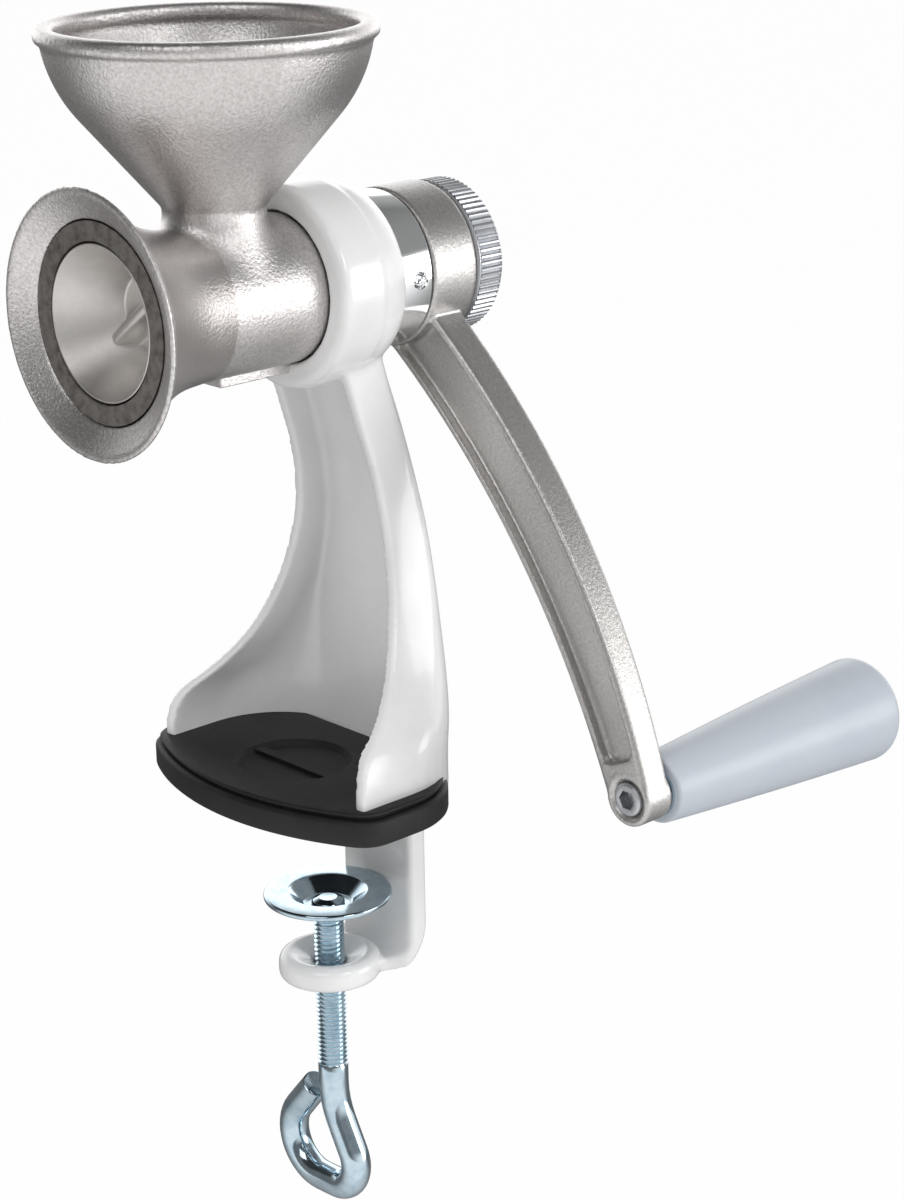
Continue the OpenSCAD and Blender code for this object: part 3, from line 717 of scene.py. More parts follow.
    def build(self) -> None:
        """Join the solids into one casting, add the crisp tongue under the barrel and finish it."""
        obj = merge(self.barrel(), self.hopper(), self.neck_web())
        cast(obj, self.voxel, rounds=4)
        tongue = plate("tongue", Plane.BARREL, box(self.tongue_x, self.tongue_z), *self.tongue_y)
        bevel(tongue, 0.3, 2)
        combine(obj, tongue, Cut.JOIN)
        place_piece(obj, BLASTED_ALUMINIUM, "frame", "mill_body")


# ---- Grinding cone --------------------------------------------------------------------------------


@dataclass
class GrindingCone:
    """The hollow cone at the outlet, with the rib across its floor."""

    front_y: float = -62.6
    front_r: float = 18.6
    rear_y: float = -47.4
    rear_r: float = 13.74
    mouth_r: float = 18.0
    floor_r: float = 9.6
    floor_y: float = -48.0
    hub_r: float = 12.85
    hub_y: float = -42.05
    rib_y: float = -52.8
    rib_angle: float = 37.0

    def rib(self) -> Piece:
        """Ridge with sloping sides and round ends, laid across the floor.

        Returns:
            The solid.
        """
        turn = math.radians(self.rib_angle)
        along = Vector((math.cos(turn), 0, math.sin(turn)))
        side = Vector((-math.sin(turn), 0, math.cos(turn)))
        crest, base = self.rib_y, self.floor_y
        rows = []
        for y, half, reach in ((crest, 0.7, 10.8), (crest + 0.35, 1.25, 11.5), (crest + 1.1, 1.7, 12.0),
                               (base - 1.2, 2.4, 12.4), (base - 0.4, 3.2, 12.4), (base + 0.3, 4.6, 12.4)):
            ring = [(reach - half + half * math.cos(t), half * math.sin(t))
                    for t in (math.pi * (i / 8 - 0.5) for i in range(9))]
            ring += [(-x, -w) for x, w in ring]
            rows.append([MILL.origin + (along * x + side * w + Vector((0, y, 0))) * MM for x, w in ring])
        return skin("rib", rows)

    def build(self) -> None:
        """Turn the cone, add the rib and finish it."""
        obj = lathe("grinding_cone_dressed", MILL, [
            (0, self.floor_y), (self.floor_r, self.floor_y, 0.8), (self.mouth_r, self.front_y, 0.25),
            (self.front_r, self.front_y, 0.25), (self.rear_r, self.rear_y, 0.2),
            (self.hub_r, self.rear_y, 0.2), (self.hub_r, self.hub_y, 0.3), (0, self.hub_y)], steps=160)
        combine(obj, self.rib(), Cut.JOIN)
        soften(obj)
        place_piece(obj, TINNED_IRON, "rotor", "grinding_cone")


# ---- Stand ----------------------------------------------------------------------------------------


@dataclass
class Stand:
    """The enamelled casting: collar, open channel column, foot, clamp bar and threaded boss."""

    back_y: float = 23.0
    side_t: float = 3.2
    web_t: float = 6.2
    # Height, half width, front edge, back face and corner radius of the column
    column: tuple[tuple[float, ...], ...] = (
        (3, 38.5, -20.5, 23, 27), (13, 38.5, -20.5, 23, 27), (20, 36.6, -17.5, 23, 23),
        (26, 32.8, -9, 23, 17), (34, 28.2, -1.5, 23, 11), (44, 24.2, 3.6, 23, 7),
        (55, 20.9, 6.7, 23, 4.5), (68, 18, 7.9, 22.8, 4), (82, 16.4, 6.4, 20.4, 4),
        (95, 15.7, 2.6, 17, 4), (106, 15.7, -1, 13.2, 4), (116, 15.7, -4.5, 10.2, 4))
    foot_t: float = 3.4
    foot_gap: float = 0.3
    bar_top: float = 9.0
    bar_half_w: float = 13.3
    bar_t: float = 6.1
    arm_top: float = -51.2
    arm_h: float = 4.1
    waist_w: float = 7.8
    waist_y: float = 8.0
    waist_r: float = 8.0
    corner_r: float = 4.0
    bend_in: float = 5.0
    bend_out: float = 12.5
    boss_r: float = 13.4
    boss_h: float = 6.7
    jaw: float = -47.5
    thread_r: float = 4.25
    sink_r: float = 10.0
    sink_h: float = 2.9
    collar_r: float = 25.0
    collar_y: float = -9.8
    socket_r: float = 18.45         # the barrel's shoulder sits in it
    socket_y: float = -3.0
    tail_r: float = 15.7
    tail_y: float = 12.6
    crease_y: float = 3.4
    crease_r: float = 24.6
    back_bend: float = 16.0         # radius of the collar's falling back
    voxel: float = 0.7

    def station(self, place: float) -> list[float]:
        """A row of the column's table, on the smooth curve through its rows.

        Args:
            place: Number of the row, with a fraction.

        Returns:
            The row's five values.
        """
        last = len(self.column) - 1
        i = min(int(place), last - 1)
        t = place - i
        a, b, c, d = (self.column[min(max(k, 0), last)] for k in (i - 1, i, i + 1, i + 2))
        return [0.5 * (2 * q + (r - p) * t + (2 * p - 5 * q + 4 * r - s) * t * t
                       + (3 * q - p - 3 * r + s) * t ** 3) for p, q, r, s in zip(a, b, c, d)]

    @staticmethod
    def wall(half: float, front: float, back: float, radius: float) -> list[Point]:
        """Outline of one side of the channel, from the right front edge round the back to the left."""
        right = [(half, front), *[(half - radius + radius * math.cos(t), back - radius + radius * math.sin(t))
                                  for t in (math.pi / 2 * i / 10 for i in range(11))]]
        return right + [(-x, y) for x, y in reversed(right)]

    def channel(self, row: Sequence[float]) -> list[Point]:
        """Outline of the open channel at one station.

        Args:
            row: The station's five values.

        Returns:
            The points, out round the back and in again.
        """
        _, half, front, back, radius = row
        outer = self.wall(half, front, back, radius)
        inner = self.wall(half - self.side_t, front, back - self.web_t, max(radius - self.side_t - 1, 2))
        return outer + inner[::-1]

    def walls(self) -> Piece:
        """The column as one skin through its stations."""
        rows = [self.station(i / 4) for i in range(4 * len(self.column) - 3)]
        return skin("stand_casting", [[Plane.LEVEL.at(point, row[0]) for point in self.channel(row)]
                                      for row in rows])

    def foot(self) -> Piece:
        """Plate that closes the channel's foot inside the pad."""
        low, half, front, back, radius = self.column[0]
        outline = self.wall(half - self.foot_gap, front + self.foot_gap, back - self.foot_gap, radius)
        return plate("foot", Plane.LEVEL, outline, low, low + self.foot_t)

    def clamp(self) -> Piece:
        """Bar down the table's edge, bent forward to an arm with a waist.

        Returns:
            The solid.
        """
        low, boss_low = self.arm_top - self.arm_h, self.jaw - self.boss_h
        front = self.back_y - self.bar_t
        side = [(self.back_y, self.bar_top), (front, self.bar_top),
                *arc((front - self.bend_in, self.arm_top + self.bend_in), self.bend_in, 0, -90),
                (0, self.arm_top), (0, boss_low), (self.waist_y, boss_low),
                *arc((self.back_y - self.bend_out, low + self.bend_out), self.bend_out, -90, 0)]
        obj = plate("clamp_bar", Plane.SIDE, side, -self.bar_half_w, self.bar_half_w)
        bevel(obj, 1.2, 3)
        hollow = (self.waist_w + self.waist_r, self.waist_y)
        corner_x = self.bar_half_w - self.corner_r
        reach = self.waist_r + self.corner_r
        corner = (corner_x, self.waist_y + math.sqrt(reach ** 2 - (hollow[0] - corner_x) ** 2))
        lean = math.degrees(math.atan2(corner[1] - hollow[1], corner_x - hollow[0]))
        clear_x, clear_y = self.bar_half_w + 2, -5.0
        ring = [(self.waist_w, clear_y), *arc(hollow, self.waist_r, 180, lean),
                *arc(corner, self.corner_r, lean - 180, 0), (clear_x, corner[1]), (clear_x, clear_y)]
        for way in (-1, 1):
            mirrored = [(way * x, y) for x, y in ring]
            cutter = plate("cutter", Plane.LEVEL, mirrored, low - 2, low + self.bend_out + 2)
            combine(obj, cutter, Cut.REMOVE)
        return obj

    def collar(self) -> Piece:
        """Ring round the barrel's tail: a flat front, a round edge, a crease and a falling back."""
        back = arc((self.crease_r - self.back_bend, self.crease_y), self.back_bend, 0, 32.9)
        return lathe("collar", MILL, [
            (self.socket_r, self.socket_y), (self.socket_r, self.collar_y, 0.5),
            (self.collar_r, self.collar_y, 2.2), (self.collar_r, self.crease_y - 0.5, 0.3), *back,
            (self.tail_r, self.tail_y), (self.tail_r, self.socket_y)])

    def boss(self) -> Piece:
        """Round boss at the arm's end, bored, with a wide countersink for the screw."""
        low = self.jaw - self.boss_h
        return lathe("screw_boss", SCREW, [
            (self.thread_r, self.jaw - self.sink_h), (self.sink_r, self.jaw, 1.5),
            (self.boss_r, self.jaw, 2.6), (self.boss_r, low, 1.6), (self.thread_r, low, 0.4)])

    def build(self) -> None:
        """Join the solids, open the bores again and finish the casting."""
        bar = self.clamp()
        drill(bar, SCREW, 12, -60, -40)
        walls = self.walls()
        bore = lathe("bore", MILL, [(0, -16), (18.6, -16), (18.6, -4), (self.tail_r, -4), (self.tail_r, 20),
                                    (0, 20)], steps=96)
        combine(walls, bore, Cut.REMOVE)
        obj = merge(walls, self.foot(), bar, self.collar(), self.boss())
        cast(obj, self.voxel, rounds=6)
        place_piece(obj, WHITE_ENAMEL, "frame", "stand")


# ---- Table pad ------------------------------------------------------------------------------------


@dataclass
class TablePad:
    """The rubber pad under the foot, with its groove, recess and bar."""

    half_w: float = 43.0
    back_y: float = 15.8
    front_r: float = 80.0
    front_y: float = 46.0
    corner_r: float = 9.0
    back_r: float = 22.0
    sole_h: float = 6.9
    top_h: float = 8.6
    recess_r: float = 14.0
    recess_y: float = -10.0
    floor_h: float = 7.15
    bar_w: float = 2.6
    bar_h: float = 8.1

    def outline(self, inward: float) -> list[Point]:
        """Outline of the sole.

        Args:
            inward: How far it is moved inwards.

        Returns:
            Its points.
        """
        x, reach = self.half_w - self.corner_r, self.front_r - self.corner_r
        y = self.front_y - math.sqrt(reach * reach - x * x)
        lean = math.degrees(math.asin(x / reach))
        back = (self.half_w - self.back_r, self.back_y - self.back_r)
        return [*arc((0, self.front_y), self.front_r - inward, -90 - lean, -90 + lean),
                *arc((x, y), self.corner_r - inward, -90 + lean, 0)[1:],
                *arc(back, self.back_r - inward, 0, 90),
                *arc((-back[0], back[1]), self.back_r - inward, 90, 180),
                *arc((-x, y), self.corner_r - inward, 180, 270 - lean)[:-1]]

    def slab(self, name: str, inward: float, low: float, high: float) -> Piece:
        """Slab of the sole's outline between two heights."""
        return plate(name, Plane.LEVEL, self.outline(inward), low, high)

    def build(self, stand: Stand) -> None:
        """Stack the slabs, cut recess and slot, round the edges and finish the pad.

        Args:
            stand: The casting whose foot sits in the slot.
        """
        obj = self.slab("rubber_pad", 0, 0, self.sole_h)
        bevel(obj, 1.1, 3)
        combine(obj, self.slab("waist", 1.9, 4, self.sole_h + 0.5), Cut.JOIN)
        lip = self.slab("lip", 1.2, self.sole_h + 0.45, self.top_h)
        bevel(lip, 0.6, 3)
        combine(obj, lip, Cut.JOIN)
        over = self.top_h + 0.1
        centre = Spindle(Vector((0, self.recess_y * MM, 0)), SCREW.along, SCREW.out)
        pocket = lathe("pocket", centre, [
            (0, self.floor_h), (self.recess_r - 0.8, self.floor_h, 0.6),
            (self.recess_r, self.bar_h - 0.1, 0.3), (self.recess_r + 0.8, over), (0, over)], steps=96)
        across = (self.recess_y - self.bar_w / 2, self.recess_y + self.bar_w / 2)
        combine(pocket, plate("bar", Plane.LEVEL, box((-20, 20), across), 5, self.bar_h), Cut.REMOVE)
        combine(obj, pocket, Cut.REMOVE)
        combine(obj, plate("slot", Plane.LEVEL, stand.channel(stand.column[0]), 4, 10), Cut.REMOVE)
        soften(obj, 40)
        place_piece(obj, BLACK_RUBBER, "frame", "table_pad")


# ---- Ring nut -------------------------------------------------------------------------------------


@dataclass
class RingNut:
    """The polished nut behind the collar, with one hole for a pin spanner."""

    front_y: float = 12.6
    rear_y: float = 23.1
    radius: float = 19.5
    bore_r: float = 15.1
    hole_r: float = 2.0
    hole_y: float = 19.1

    def build(self) -> None:
        """Turn the nut, drill it and finish it."""
        obj = lathe("ring_nut_polished", MILL, [
            (self.bore_r, self.front_y), (self.radius, self.front_y, 0.2), (self.radius, self.rear_y, 0.45),
            (self.bore_r, self.rear_y)], steps=192)
        radial = Spindle(Vector((0, self.hole_y * MM, AXIS_H * MM)), Vector((1, 0, 0)), Vector((0, 0, 1)))
        rim = self.radius - 0.12
        dimple = lathe("drill", radial, [
            *arc((0, rim - 0.4), self.hole_r, -90, 0), (self.hole_r + 0.25, rim - 0.1),
            (self.hole_r + 0.8, rim + 0.6), (0, rim + 0.6)], steps=64)
        combine(obj, dimple, Cut.REMOVE)
        soften(obj)
        place_piece(obj, CHROME, "frame", "ring_nut")


# ---- Crank ----------------------------------------------------------------------------------------


@dataclass
class Crank:
    """The curved crank arm with its hub, recess and boss. Flat places are X and Z from the barrel's axis."""

    throw: float = 144.9
    angle: float = 55.1
    hub_r: float = 19.75
    hub_front: float = 23.65
    hub_rear: float = 37.95
    front: float = 25.0
    rear: float = 33.3
    rear_hub: float = 35.3
    boss_r: float = 6.9
    wall: float = 2.0
    recess: float = 3.0
    square: float = 10.6
    outer_c: Point = (-116.0, -179.0)
    inner_c: Point = (-144.0, -207.0)
    pin_r: float = 3.5
    pin_end: float = 107.0
    head_r: float = 4.3
    head_l: float = 1.6
    key_r: float = 2.5              # radius of the hexagon socket's corners
    bore_r: float = 5.2
    voxel: float = 0.5

    @property
    def grip(self) -> Point:
        """Place of the grip's axis."""
        turn = math.radians(self.angle)
        return self.throw * math.cos(turn), -self.throw * math.sin(turn)

    def spindle(self) -> Spindle:
        """The grip's axis."""
        x, z = self.grip
        return Spindle(Vector((x, 0, AXIS_H + z)) * MM, MILL.along, MILL.out)

    def flat(self, inward: float, start: float, stop: float) -> list[Point]:
        """Outline of the arm between two distances along it, its edges moved inwards.

        Args:
            inward: How far the edges move.
            start: Angle on the outer arc where the arm leaves the hub.
            stop: Angle on the outer arc where the outline ends near the boss.

        Returns:
            Points of the closed outline.
        """
        x, z = self.grip
        outer_r = math.dist(self.grip, self.outer_c) + self.boss_r - inward
        inner_r = math.dist(self.grip, self.inner_c) - self.boss_r + inward
        outer = arc(self.outer_c, outer_r, start, stop)
        ends = []
        for point in (outer[-1], outer[0]):
            ends.append(math.degrees(math.atan2(point[1] - self.inner_c[1], point[0] - self.inner_c[0])))
        return [*outer, *arc(self.inner_c, inner_r, *ends)]

    def build_arm(self) -> None:
        """Shape the arm, cut its recess, add hub and boss, and finish the casting."""
        x, z = self.grip
        tip = math.degrees(math.atan2(z - self.outer_c[1], x - self.outer_c[0]))
        arm = plate("crank_casting", Plane.BARREL, self.flat(0, 58, tip), self.front, self.rear_hub)
        for vertex in arm.data.vertices:
            if vertex.co.y > self.front * MM + DOUBLES:
                reach = math.hypot(vertex.co.x, vertex.co.z - AXIS_H * MM) / (self.throw * MM)
                vertex.co.y = (self.rear_hub + (self.rear - self.rear_hub) * min(reach, 1)) * MM
        bevel(arm, 1.1, 3)
        recess = rounded_flat(self.flat(self.wall, 56, tip + 2.6), 3.0)
        hollow = plate("hollow", Plane.BARREL, recess, self.front - 1, self.front + self.recess)
        combine(arm, hollow, Cut.REMOVE)
        hub = lathe("hub", MILL, [(self.bore_r, self.hub_front), (self.hub_r, self.hub_front, 0.5),
                                  (self.hub_r, self.hub_rear, 0.6), (self.bore_r, self.hub_rear)], steps=160)
        flats = (-self.square / 2, self.square / 2)
        hole = plate("hole", Plane.BARREL, box(flats, flats), self.hub_front - 1, self.hub_rear + 1)
        seat_r, seat_y, face, back = self.head_r + 0.05, self.front + 0.65, self.front - 0.15, self.rear + 0.5
        shelf = self.front + self.head_l
        boss = lathe("boss", self.spindle(), [
            (seat_r, seat_y), (self.head_r + 0.9, seat_y, 0.2), (self.head_r + 1, face, 0.3),
            (self.boss_r, face, 0.7), (self.boss_r, back, 0.6), (self.pin_r, back), (self.pin_r, shelf),
            (seat_r, shelf)], steps=96)
        for core, radius in ((MILL, self.bore_r + 0.1), (self.spindle(), self.head_r + 1.2)):
            drill(arm, core, radius, 10, 50)
        obj = merge(arm, hub, boss)
        cast(obj, self.voxel, rounds=5)
        combine(obj, hole, Cut.REMOVE)
        place_piece(obj, TUMBLED_ALUMINIUM, "crank", "crank_arm")

    def build_pin(self) -> None:
        """Turn the grip's pin, cut the hexagon socket in its head and finish it."""
        face, shelf, head_r = self.front - 0.35, self.front + self.head_l, self.head_r - 0.1
        obj = lathe("grip_pin_turned", self.spindle(), [
            (0, face), (head_r, face, 0.7), (head_r, shelf), (self.pin_r, shelf),
            (self.pin_r, self.pin_end, 0.5), (0, self.pin_end)], steps=64)
        x, z = self.grip
        key = [(x + self.key_r * math.cos(t), z + self.key_r * math.sin(t)) for t in
               (math.tau * i / 6 for i in range(6))]
        combine(obj, plate("socket", Plane.BARREL, key, self.front - 1, self.front + 2.9), Cut.REMOVE)
        bevel(obj, 0.12, 2, 50)
        soften(obj)
        place_piece(obj, NICKEL, "crank", "grip_pin")


def rounded_flat(points: Sequence[Point], radius: float) -> list[Point]:
    """Round the sharp corners of an outline that also has long curves.

    Args:
        points: The outline.
        radius: Radius of its corners.

    Returns:
        The points of the rounded outline.
    """
    spots = [Vector(point) for point in points]
    turns = [(spots[i] - spots[i - 1]).angle(spots[(i + 1) % len(spots)] - spots[i])
             for i in range(len(spots))]
    sharp = [spot for spot, turn in zip(spots, turns) if turn > math.radians(40)]
    corners: list[Point | Corner] = []
    for spot in spots:
        if spot in sharp:
            corners.append((*spot, radius))
        elif min((spot - other).length for other in sharp) > 1.5 * radius:
            corners.append(tuple(spot))
    return rounded(corners)


# ---- Adjusting nut --------------------------------------------------------------------------------


@dataclass
class AdjustingNut:
    """The knurled nut behind the crank's hub."""

    front_y: float = 38.9
    rear_y: float = 47.6
    radius: float = 19.3
    bore_r: float = 5.05
    teeth: int = 76
    groove: float = 0.5

    def build(self) -> None:
        """Extrude the knurl, turn its two ends and finish the nut."""
        points: list[Point] = []
        for i in range(self.teeth):
            for share, sink in ((0.0, self.groove), (0.22, 0.12), (0.34, 0.0), (0.66, 0.0), (0.78, 0.12)):
                turn = math.tau * (i + share) / self.teeth
                points.append(((self.radius - sink) * math.cos(turn), (self.radius - sink) * math.sin(turn)))
        obj = plate("knurled_nut", Plane.BARREL, points, self.front_y + 0.9, self.rear_y - 1)
        core, floor = self.radius - self.groove - 0.1, self.rear_y - 1.1
        turned = lathe("turned", MILL, [
            (self.bore_r, self.front_y), (core - 0.4, self.front_y, 0.4),
            (core + 0.45, self.front_y + 0.5, 0.2), (core + 0.45, self.front_y + 0.85, 0.1),
            (core, self.front_y + 1), (core, floor), (core + 0.3, self.rear_y - 0.95, 0.1),
            (core - 0.3, self.rear_y, 0.3), (14.4, self.rear_y, 0.2), (13.8, floor, 0.2),
            (8.4, floor, 0.2), (7.8, self.rear_y, 0.2), (self.bore_r, self.rear_y)], steps=152)
        drill(obj, MILL, core - 2, 30, 60, steps=76)
        combine(obj, turned, Cut.JOIN)
        soften(obj, 25)
        place_piece(obj, NICKEL, "nut", "adjusting_nut")


# ---- Grip -----------------------------------------------------------------------------------------


@dataclass
class Grip:
    """The tapered turning grip."""

    start_y: float = 34.6
    length: float = 79.4
    start_r: float = 8.6
    end_r: float = 13.9
    swell: float = 0.25
    bore_r: float = 3.6
    pocket_r: float = 7.5
    pocket_l: float = 12.0

    def build(self, crank: Crank) -> None:
        """Turn the grip with its pocket and finish it.

        Args:
            crank: The crank that holds its pin.
        """
        end = self.start_y + self.length
        floor = end - self.pocket_l
        side = []
        for i in range(1, 15):
            t = i / 16
            radius = self.start_r + (self.end_r - self.start_r) * t + self.swell * math.sin(math.pi * t)
            side.append((radius, self.start_y + self.length * t))
        obj = lathe("grip_moulded", crank.spindle(), [
            (self.bore_r, self.start_y), (self.start_r, self.start_y, 0.8), *side, (self.end_r, end, 2.8),
            (self.pocket_r, end, 0.4), (self.pocket_r, floor), (self.bore_r, floor)], steps=128)
        soften(obj)
        place_piece(obj, GREY_GRIP, "grip", "grip")


# ---- Clamp screw and swivel plate -----------------------------------------------------------------


@dataclass
class ClampScrew:
    """The screw with its thread, peened tip and bent eye, and the cupped plate that swivels on it."""

    radius: float = 4.0
    pitch: float = 1.25
    depth: float = 0.72
    jaw: float = -30.5
    cup_depth: float = 3.7
    thread_low: float = -80.0
    neck_r: float = 3.0
    plate_r: float = 16.7
    eye_z: float = -85.4
    # Straight length, bend radius and bend angle of each stretch of the eye
    moves: tuple[Corner, ...] = ((0.6, 21.5, 29), (9, 8, -116.6), (6.2, 10.9, -132), (12.2, 1, 0))

    @staticmethod
    def ahead(heading: float) -> Vector:
        """The way that the rod runs, in X and Z."""
        return Vector((math.sin(heading), -math.cos(heading)))

    @staticmethod
    def across(heading: float) -> Vector:
        """The way square to the rod, in X and Z."""
        return Vector((math.cos(heading), math.sin(heading)))

    def path(self) -> list[tuple[Point, float]]:
        """Centre line of the eye.

        Returns:
            Places in X and Z, each with its heading.
        """
        spot, heading = Vector((0, self.eye_z)), 0.0
        places: list[tuple[Point, float]] = []
        for straight, bend, angle in self.moves:
            places.append((tuple(spot), heading))
            spot = spot + self.ahead(heading) * straight
            side, turn = math.copysign(1, angle), math.radians(angle)
            centre = spot + self.across(heading) * bend * side
            steps = math.ceil(abs(angle) / 8)
            for k in range(steps):
                now = heading + turn * k / steps
                places.append((tuple(centre - self.across(now) * bend * side), now))
            if steps:
                heading += turn
                spot = centre - self.across(heading) * bend * side
        places.append((tuple(spot), heading))
        return places

    def ring(self, place: Point, heading: float, radius: float, sides: int = 36) -> list[Vector]:
        """Ring of points square to the rod.

        Args:
            place: Its centre in X and Z.
            heading: The rod's heading there.
            radius: Its radius.
            sides: Number of its points.

        Returns:
            The points, in metres.
        """
        out = Vector((math.cos(heading), 0, math.sin(heading)))
        centre = Vector((place[0], 0, place[1]))
        return [(centre + out * (radius * math.cos(t)) - Vector((0, radius * math.sin(t), 0))) * MM
                for t in (math.tau * k / sides for k in range(sides))]

    def rod(self) -> Piece:
        """Plain shank and eye as one bent rod with a round end.

        Returns:
            The solid.
        """
        shank = self.radius - 0.02
        *places, (end, heading) = self.path()
        rows = [self.ring((0, self.thread_low + 0.5), 0, self.radius - self.depth + 0.1),
                self.ring((0, self.thread_low - 0.5), 0, shank)]
        rows += [self.ring(place, turn, shank) for place, turn in places]
        for step, sink in ((0.25, 0.1), (0.45, 0.35), (0.55, 0.8)):
            place = Vector(end) + self.ahead(heading) * (step - 0.5)
            rows.append(self.ring(place, heading, self.radius - sink))
        return skin("screw_rod", rows)

    def thread(self) -> Piece:
        """One pitch of the thread's profile, run up the screw.

        Returns:
            The solid.
        """
        low, top = self.thread_low - 1.2, self.jaw - self.cup_depth - 2.6
        core, crest = self.radius - self.depth, self.radius - 0.03
        half, flank = self.pitch / 2, self.pitch / 16
        outline = [(core, 0), (crest, half - flank), (crest, half + flank), (core, self.pitch - flank),
                   (core, self.pitch)]
        obj = loop("thread", [SCREW.at(r, low + s) for r, s in outline])
        unclose(obj)
        turns = math.floor((top - low) / self.pitch)
        apply(obj, "SCREW", axis="Z", angle=math.tau, screw_offset=self.pitch * MM, iterations=turns,
              steps=36, render_steps=36, use_merge_vertices=True, merge_threshold=DOUBLES)
        seal(obj, 2 * DOUBLES)
        ends = lathe("ends", SCREW, [(0, low + 0.1), (self.radius, low + 0.1), (self.radius, top - 2),
                                     (core, top - 1.1), (0, top - 1.1)], steps=72)
        combine(obj, ends, Cut.KEEP)
        return obj

    def build_screw(self) -> None:
        """Turn the core with its peened tip, join thread and rod, and finish the screw."""
        cup = self.jaw - self.cup_depth
        shoulder, low = cup - 2.05, self.thread_low - 2
        core, neck = self.radius - self.depth + 0.02, self.neck_r - 0.02
        obj = lathe("clamp_screw_bent", SCREW, [
            (0, low), (core, low), (core, shoulder, 0.2), (neck, shoulder), (neck, cup + 0.05),
            (4.5, cup + 0.05, 0.3), (4.1, cup + 1.1, 0.6), (2.4, cup + 1.75, 0.6), (0, cup + 1.55)], steps=72)
        combine(obj, self.thread(), Cut.JOIN, Solver.MANIFOLD)
        combine(obj, self.rod(), Cut.JOIN, Solver.MANIFOLD)
        soften(obj, 40)
        place_piece(obj, BLUE_ZINC, "screw", "clamp_screw")

    def build_plate(self) -> None:
        """Press the swivel plate and finish it."""
        top, cup = self.jaw, self.jaw - self.cup_depth
        obj = lathe("swivel_plate_pressed", SCREW, [
            (3.1, cup, 0.2), (6.4, cup, 1.2), (10.3, top, 1.4), (self.plate_r, top - 0.1, 0.6),
            (self.plate_r, top - 1.6, 0.6), (11.6, top - 1.7, 1.4), (7.9, cup - 2, 1.2), (3.1, cup - 2, 0.2)],
            steps=128)
        soften(obj)
        place_piece(obj, BLUE_ZINC, "plate", "swivel_plate")


# ---- Pieces that keep their solids ----------------------------------------------------------------

KEPT_SOLIDS = {
    "grinding_ring": GROUND_IRON, "ring_dowels": BLUE_ZINC, "cone_pin": BLUE_ZINC, "feed_worm": TINNED_IRON,
    "worm_pin": BLUE_ZINC, "drive_shaft": BLUE_ZINC, "preload_spring": BLUE_ZINC, "spring_washer": BLUE_ZINC,
    "shaft_seal": BLACK_RUBBER, "bearing_bush": BRONZE, "thrust_washer": BLACK_NYLON, "nut_washer": BLUE_ZINC,
    "grip_washer": BLUE_ZINC, "grip_retainer": BLUE_ZINC, "grip_cap": GREY_GRIP,
}


# ---- Studio ---------------------------------------------------------------------------------------


def toward(azimuth: float, elevation: float) -> Vector:
    """The way from the object to a place round it, given by two angles in degrees."""
    a, e = math.radians(azimuth), math.radians(elevation)
    return Vector((math.sin(a) * math.cos(e), -math.cos(a) * math.cos(e), math.sin(e)))


def link(name: str, data: bpy.types.ID) -> Piece:
    """Put a camera or lamp in the scene.

    Args:
        name: Name of the new object.
        data: Its data.

    Returns:
        The object.
    """
    obj = bpy.data.objects.new(name, data)
    bpy.context.scene.collection.objects.link(obj)
    return obj


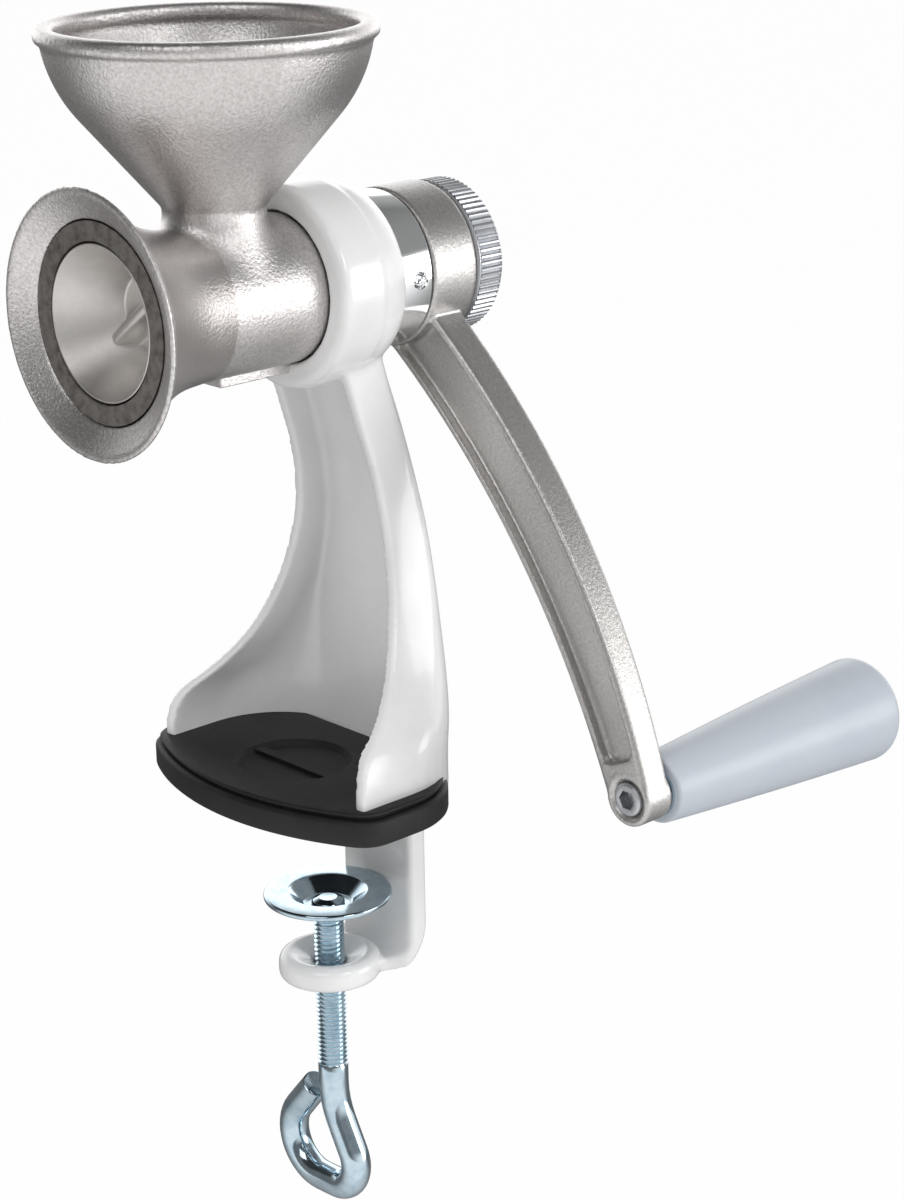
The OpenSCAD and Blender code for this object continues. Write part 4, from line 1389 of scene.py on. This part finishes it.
@dataclass
class Studio:
    """Camera, pale floor, world and soft lamps."""

    place: Vector = field(default_factory=lambda: Vector((521.8, -442.1, 275.4)) * MM)
    azimuth: float = 46.92
    elevation: float = 18.40
    roll: float = -0.94
    focal_px: float = 2868.55
    frame_h: float = 1200.0
    sensor: float = 36.0
    floor_z: float = -0.30
    floor_white: float = 0.96       # share of plain white in the floor that the camera sees
    paper: float = 0.95
    ambient: float = 0.66
    target: Vector = field(default_factory=lambda: Vector((0.02, 0, 0.08)))

    @property
    def right(self) -> Vector:
        """The way to the right of the view, level."""
        return Vector((math.cos(math.radians(self.azimuth)), math.sin(math.radians(self.azimuth)), 0))

    @property
    def away(self) -> Vector:
        """The way that the view looks, level."""
        return Vector((-self.right.y, self.right.x, 0))

    def camera(self) -> None:
        """Camera at the object's viewing angle, its lens set for a frame of 904 by 1200, whose size is not
        set here.
        """
        roll = math.radians(self.roll)
        back = toward(self.azimuth, self.elevation)
        up = back.cross(self.right)
        turned_right = self.right * math.cos(roll) + up * math.sin(roll)
        turned_up = up * math.cos(roll) - self.right * math.sin(roll)
        data = bpy.data.cameras.new("studio_camera")
        data.sensor_fit = "VERTICAL"
        data.sensor_height = self.sensor
        data.lens = self.sensor * self.focal_px / self.frame_h
        camera = link("studio_camera", data)
        matrix = Matrix((turned_right, turned_up, back)).transposed().to_4x4()
        matrix.translation = self.place
        camera.matrix_world = matrix
        bpy.context.scene.camera = camera

    @staticmethod
    def paths(tree: Tree) -> tuple[Socket, Socket]:
        """Tell what the camera sees directly or through glass from what a reflection sees.

        Args:
            tree: The tree that takes the nodes.

        Returns:
            A socket that is 1 for the first, and one that is 1 for the second.
        """
        path = add_node(tree, "LightPath")
        seen = add_node(tree, "Math", {"operation": "MAXIMUM"},
                        {0: path.outputs["Is Camera Ray"], 1: path.outputs["Is Transmission Ray"]})
        return seen.outputs["Value"], path.outputs["Is Glossy Ray"]

    @staticmethod
    def level(tree: Tree, place: Socket, way: Vector, reach: Point, levels: Point) -> Socket:
        """Grey level that changes smoothly along one way.

        Args:
            tree: The tree that takes the nodes.
            place: The coordinates.
            way: The way, of length 1.
            reach: Where the change starts and ends.
            levels: The levels there.

        Returns:
            The level's socket.
        """
        along = add_node(tree, "VectorMath", {"operation": "DOT_PRODUCT", 1: way}, {0: place})
        ramp = {"interpolation_type": "SMOOTHSTEP", "From Min": reach[0], "From Max": reach[1],
                "To Min": levels[0], "To Max": levels[1]}
        return add_node(tree, "MapRange", ramp, {"Value": along.outputs["Value"]}).outputs["Result"]

    def floor(self) -> None:
        """Wide pale floor, white with a soft shadow; to reflections it falls off to the back."""
        bpy.ops.object.select_all(action="DESELECT")
        bpy.ops.mesh.primitive_plane_add(size=8, location=(0, 0, self.floor_z))
        obj = bpy.context.object
        obj.name = "studio_floor"
        material = bpy.data.materials.new("studio_paper")
        material.use_nodes = True
        tree = material.node_tree
        tree.nodes.clear()
        seen, mirrored = self.paths(tree)
        share = add_node(tree, "Math", {"operation": "MULTIPLY", 1: self.floor_white}, {0: seen})
        paper = add_node(tree, "BsdfDiffuse", {"Color": (self.paper, self.paper, self.paper, 1)})
        place = add_node(tree, "TexCoord").outputs["Object"]
        shade = self.level(tree, place, self.away, (-0.25, 0.25), (1.12, 0.2))
        dim = add_node(tree, "Emission", {"Color": WHITE}, {"Strength": shade})
        ground = add_node(tree, "MixShader", {}, {0: mirrored, 1: paper.outputs[0], 2: dim.outputs[0]})
        glow = add_node(tree, "Emission", {"Color": WHITE, "Strength": 1.0})
        mix = add_node(tree, "MixShader", {}, {0: share.outputs[0], 1: ground.outputs[0], 2: glow.outputs[0]})
        add_node(tree, "OutputMaterial", links={"Surface": mix.outputs[0]})
        obj.data.materials.append(material)

    def world(self) -> None:
        """White to the camera; to the metals a room bright on the right and behind, dark above and left."""
        world = bpy.data.worlds.new("studio_world")
        bpy.context.scene.world = world
        world.use_nodes = True
        tree = world.node_tree
        tree.nodes.clear()
        seen, mirrored = self.paths(tree)
        look = add_node(tree, "TexCoord").outputs["Generated"]
        parts = []
        for way, reach, levels, top in ((self.right, (-0.5, 0.9), (0.14, 1.2), (0.12, 0.36)),
                                        (self.away, (0.3, 0.9), (0.2, 1.9), (0.4, 0.55))):
            wide = self.level(tree, look, way, reach, levels)
            high = self.level(tree, look, SCREW.along, top, (1.0, 0.24))
            parts.append(add_node(tree, "Math", {"operation": "MULTIPLY"}, {0: wide, 1: high}).outputs[0])
        total = add_node(tree, "Math", {"operation": "MAXIMUM"}, {0: parts[0], 1: parts[1]})
        room = add_node(tree, "Background", {"Color": WHITE}, {"Strength": total.outputs[0]})
        soft = add_node(tree, "Background", {"Color": WHITE, "Strength": self.ambient})
        white = add_node(tree, "Background", {"Color": WHITE, "Strength": 1.0})
        inner = add_node(tree, "MixShader", {}, {0: mirrored, 1: soft.outputs[0], 2: room.outputs[0]})
        mix = add_node(tree, "MixShader", {}, {0: seen, 1: inner.outputs[0], 2: white.outputs[0]})
        add_node(tree, "OutputWorld", links={"Surface": mix.outputs[0]})

    def lamp(self, name: str, azimuth: float, elevation: float, distance: float, size: float,
             power: float) -> None:
        """Square soft lamp aimed at the mill.

        Args:
            name: Name of the lamp.
            azimuth: Where it stands, as the camera's azimuth is given.
            elevation: Its height as an angle.
            distance: How far away it is, in metres.
            size: Length of its side, in metres.
            power: Its power in watts.
        """
        way = toward(azimuth, elevation)
        data = bpy.data.lights.new(name, "AREA")
        data.size = size
        data.energy = power
        obj = link(name, data)
        obj.location = self.target + way * distance
        obj.rotation_euler = way.to_track_quat("Z", "Y").to_euler()

    def build(self) -> None:
        """Set the whole studio."""
        self.camera()
        self.floor()
        self.world()
        self.lamp("right_softbox", 128, 4, 1.8, 0.9, 9)
        self.lamp("high_softbox", 88, 30, 1.9, 0.5, 5)
        self.lamp("front_softbox", 25, 42, 1.9, 1.1, 8)
        bpy.context.scene.view_settings.view_transform = "Standard"


def main() -> None:
    """Build the studio and every piece, in order."""
    logging.basicConfig(level=logging.INFO, format="%(name)s %(message)s")
    Studio().build()
    for node, finish in KEPT_SOLIDS.items():
        dress(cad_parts[node], finish)
    MillBody().build()
    GrindingCone().build()
    stand = Stand()
    stand.build()
    TablePad().build(stand)
    RingNut().build()
    crank = Crank()
    crank.build_arm()
    crank.build_pin()
    AdjustingNut().build()
    Grip().build(crank)
    screw = ClampScrew()
    screw.build_screw()
    screw.build_plate()


if __name__ == "__main__":
    main()
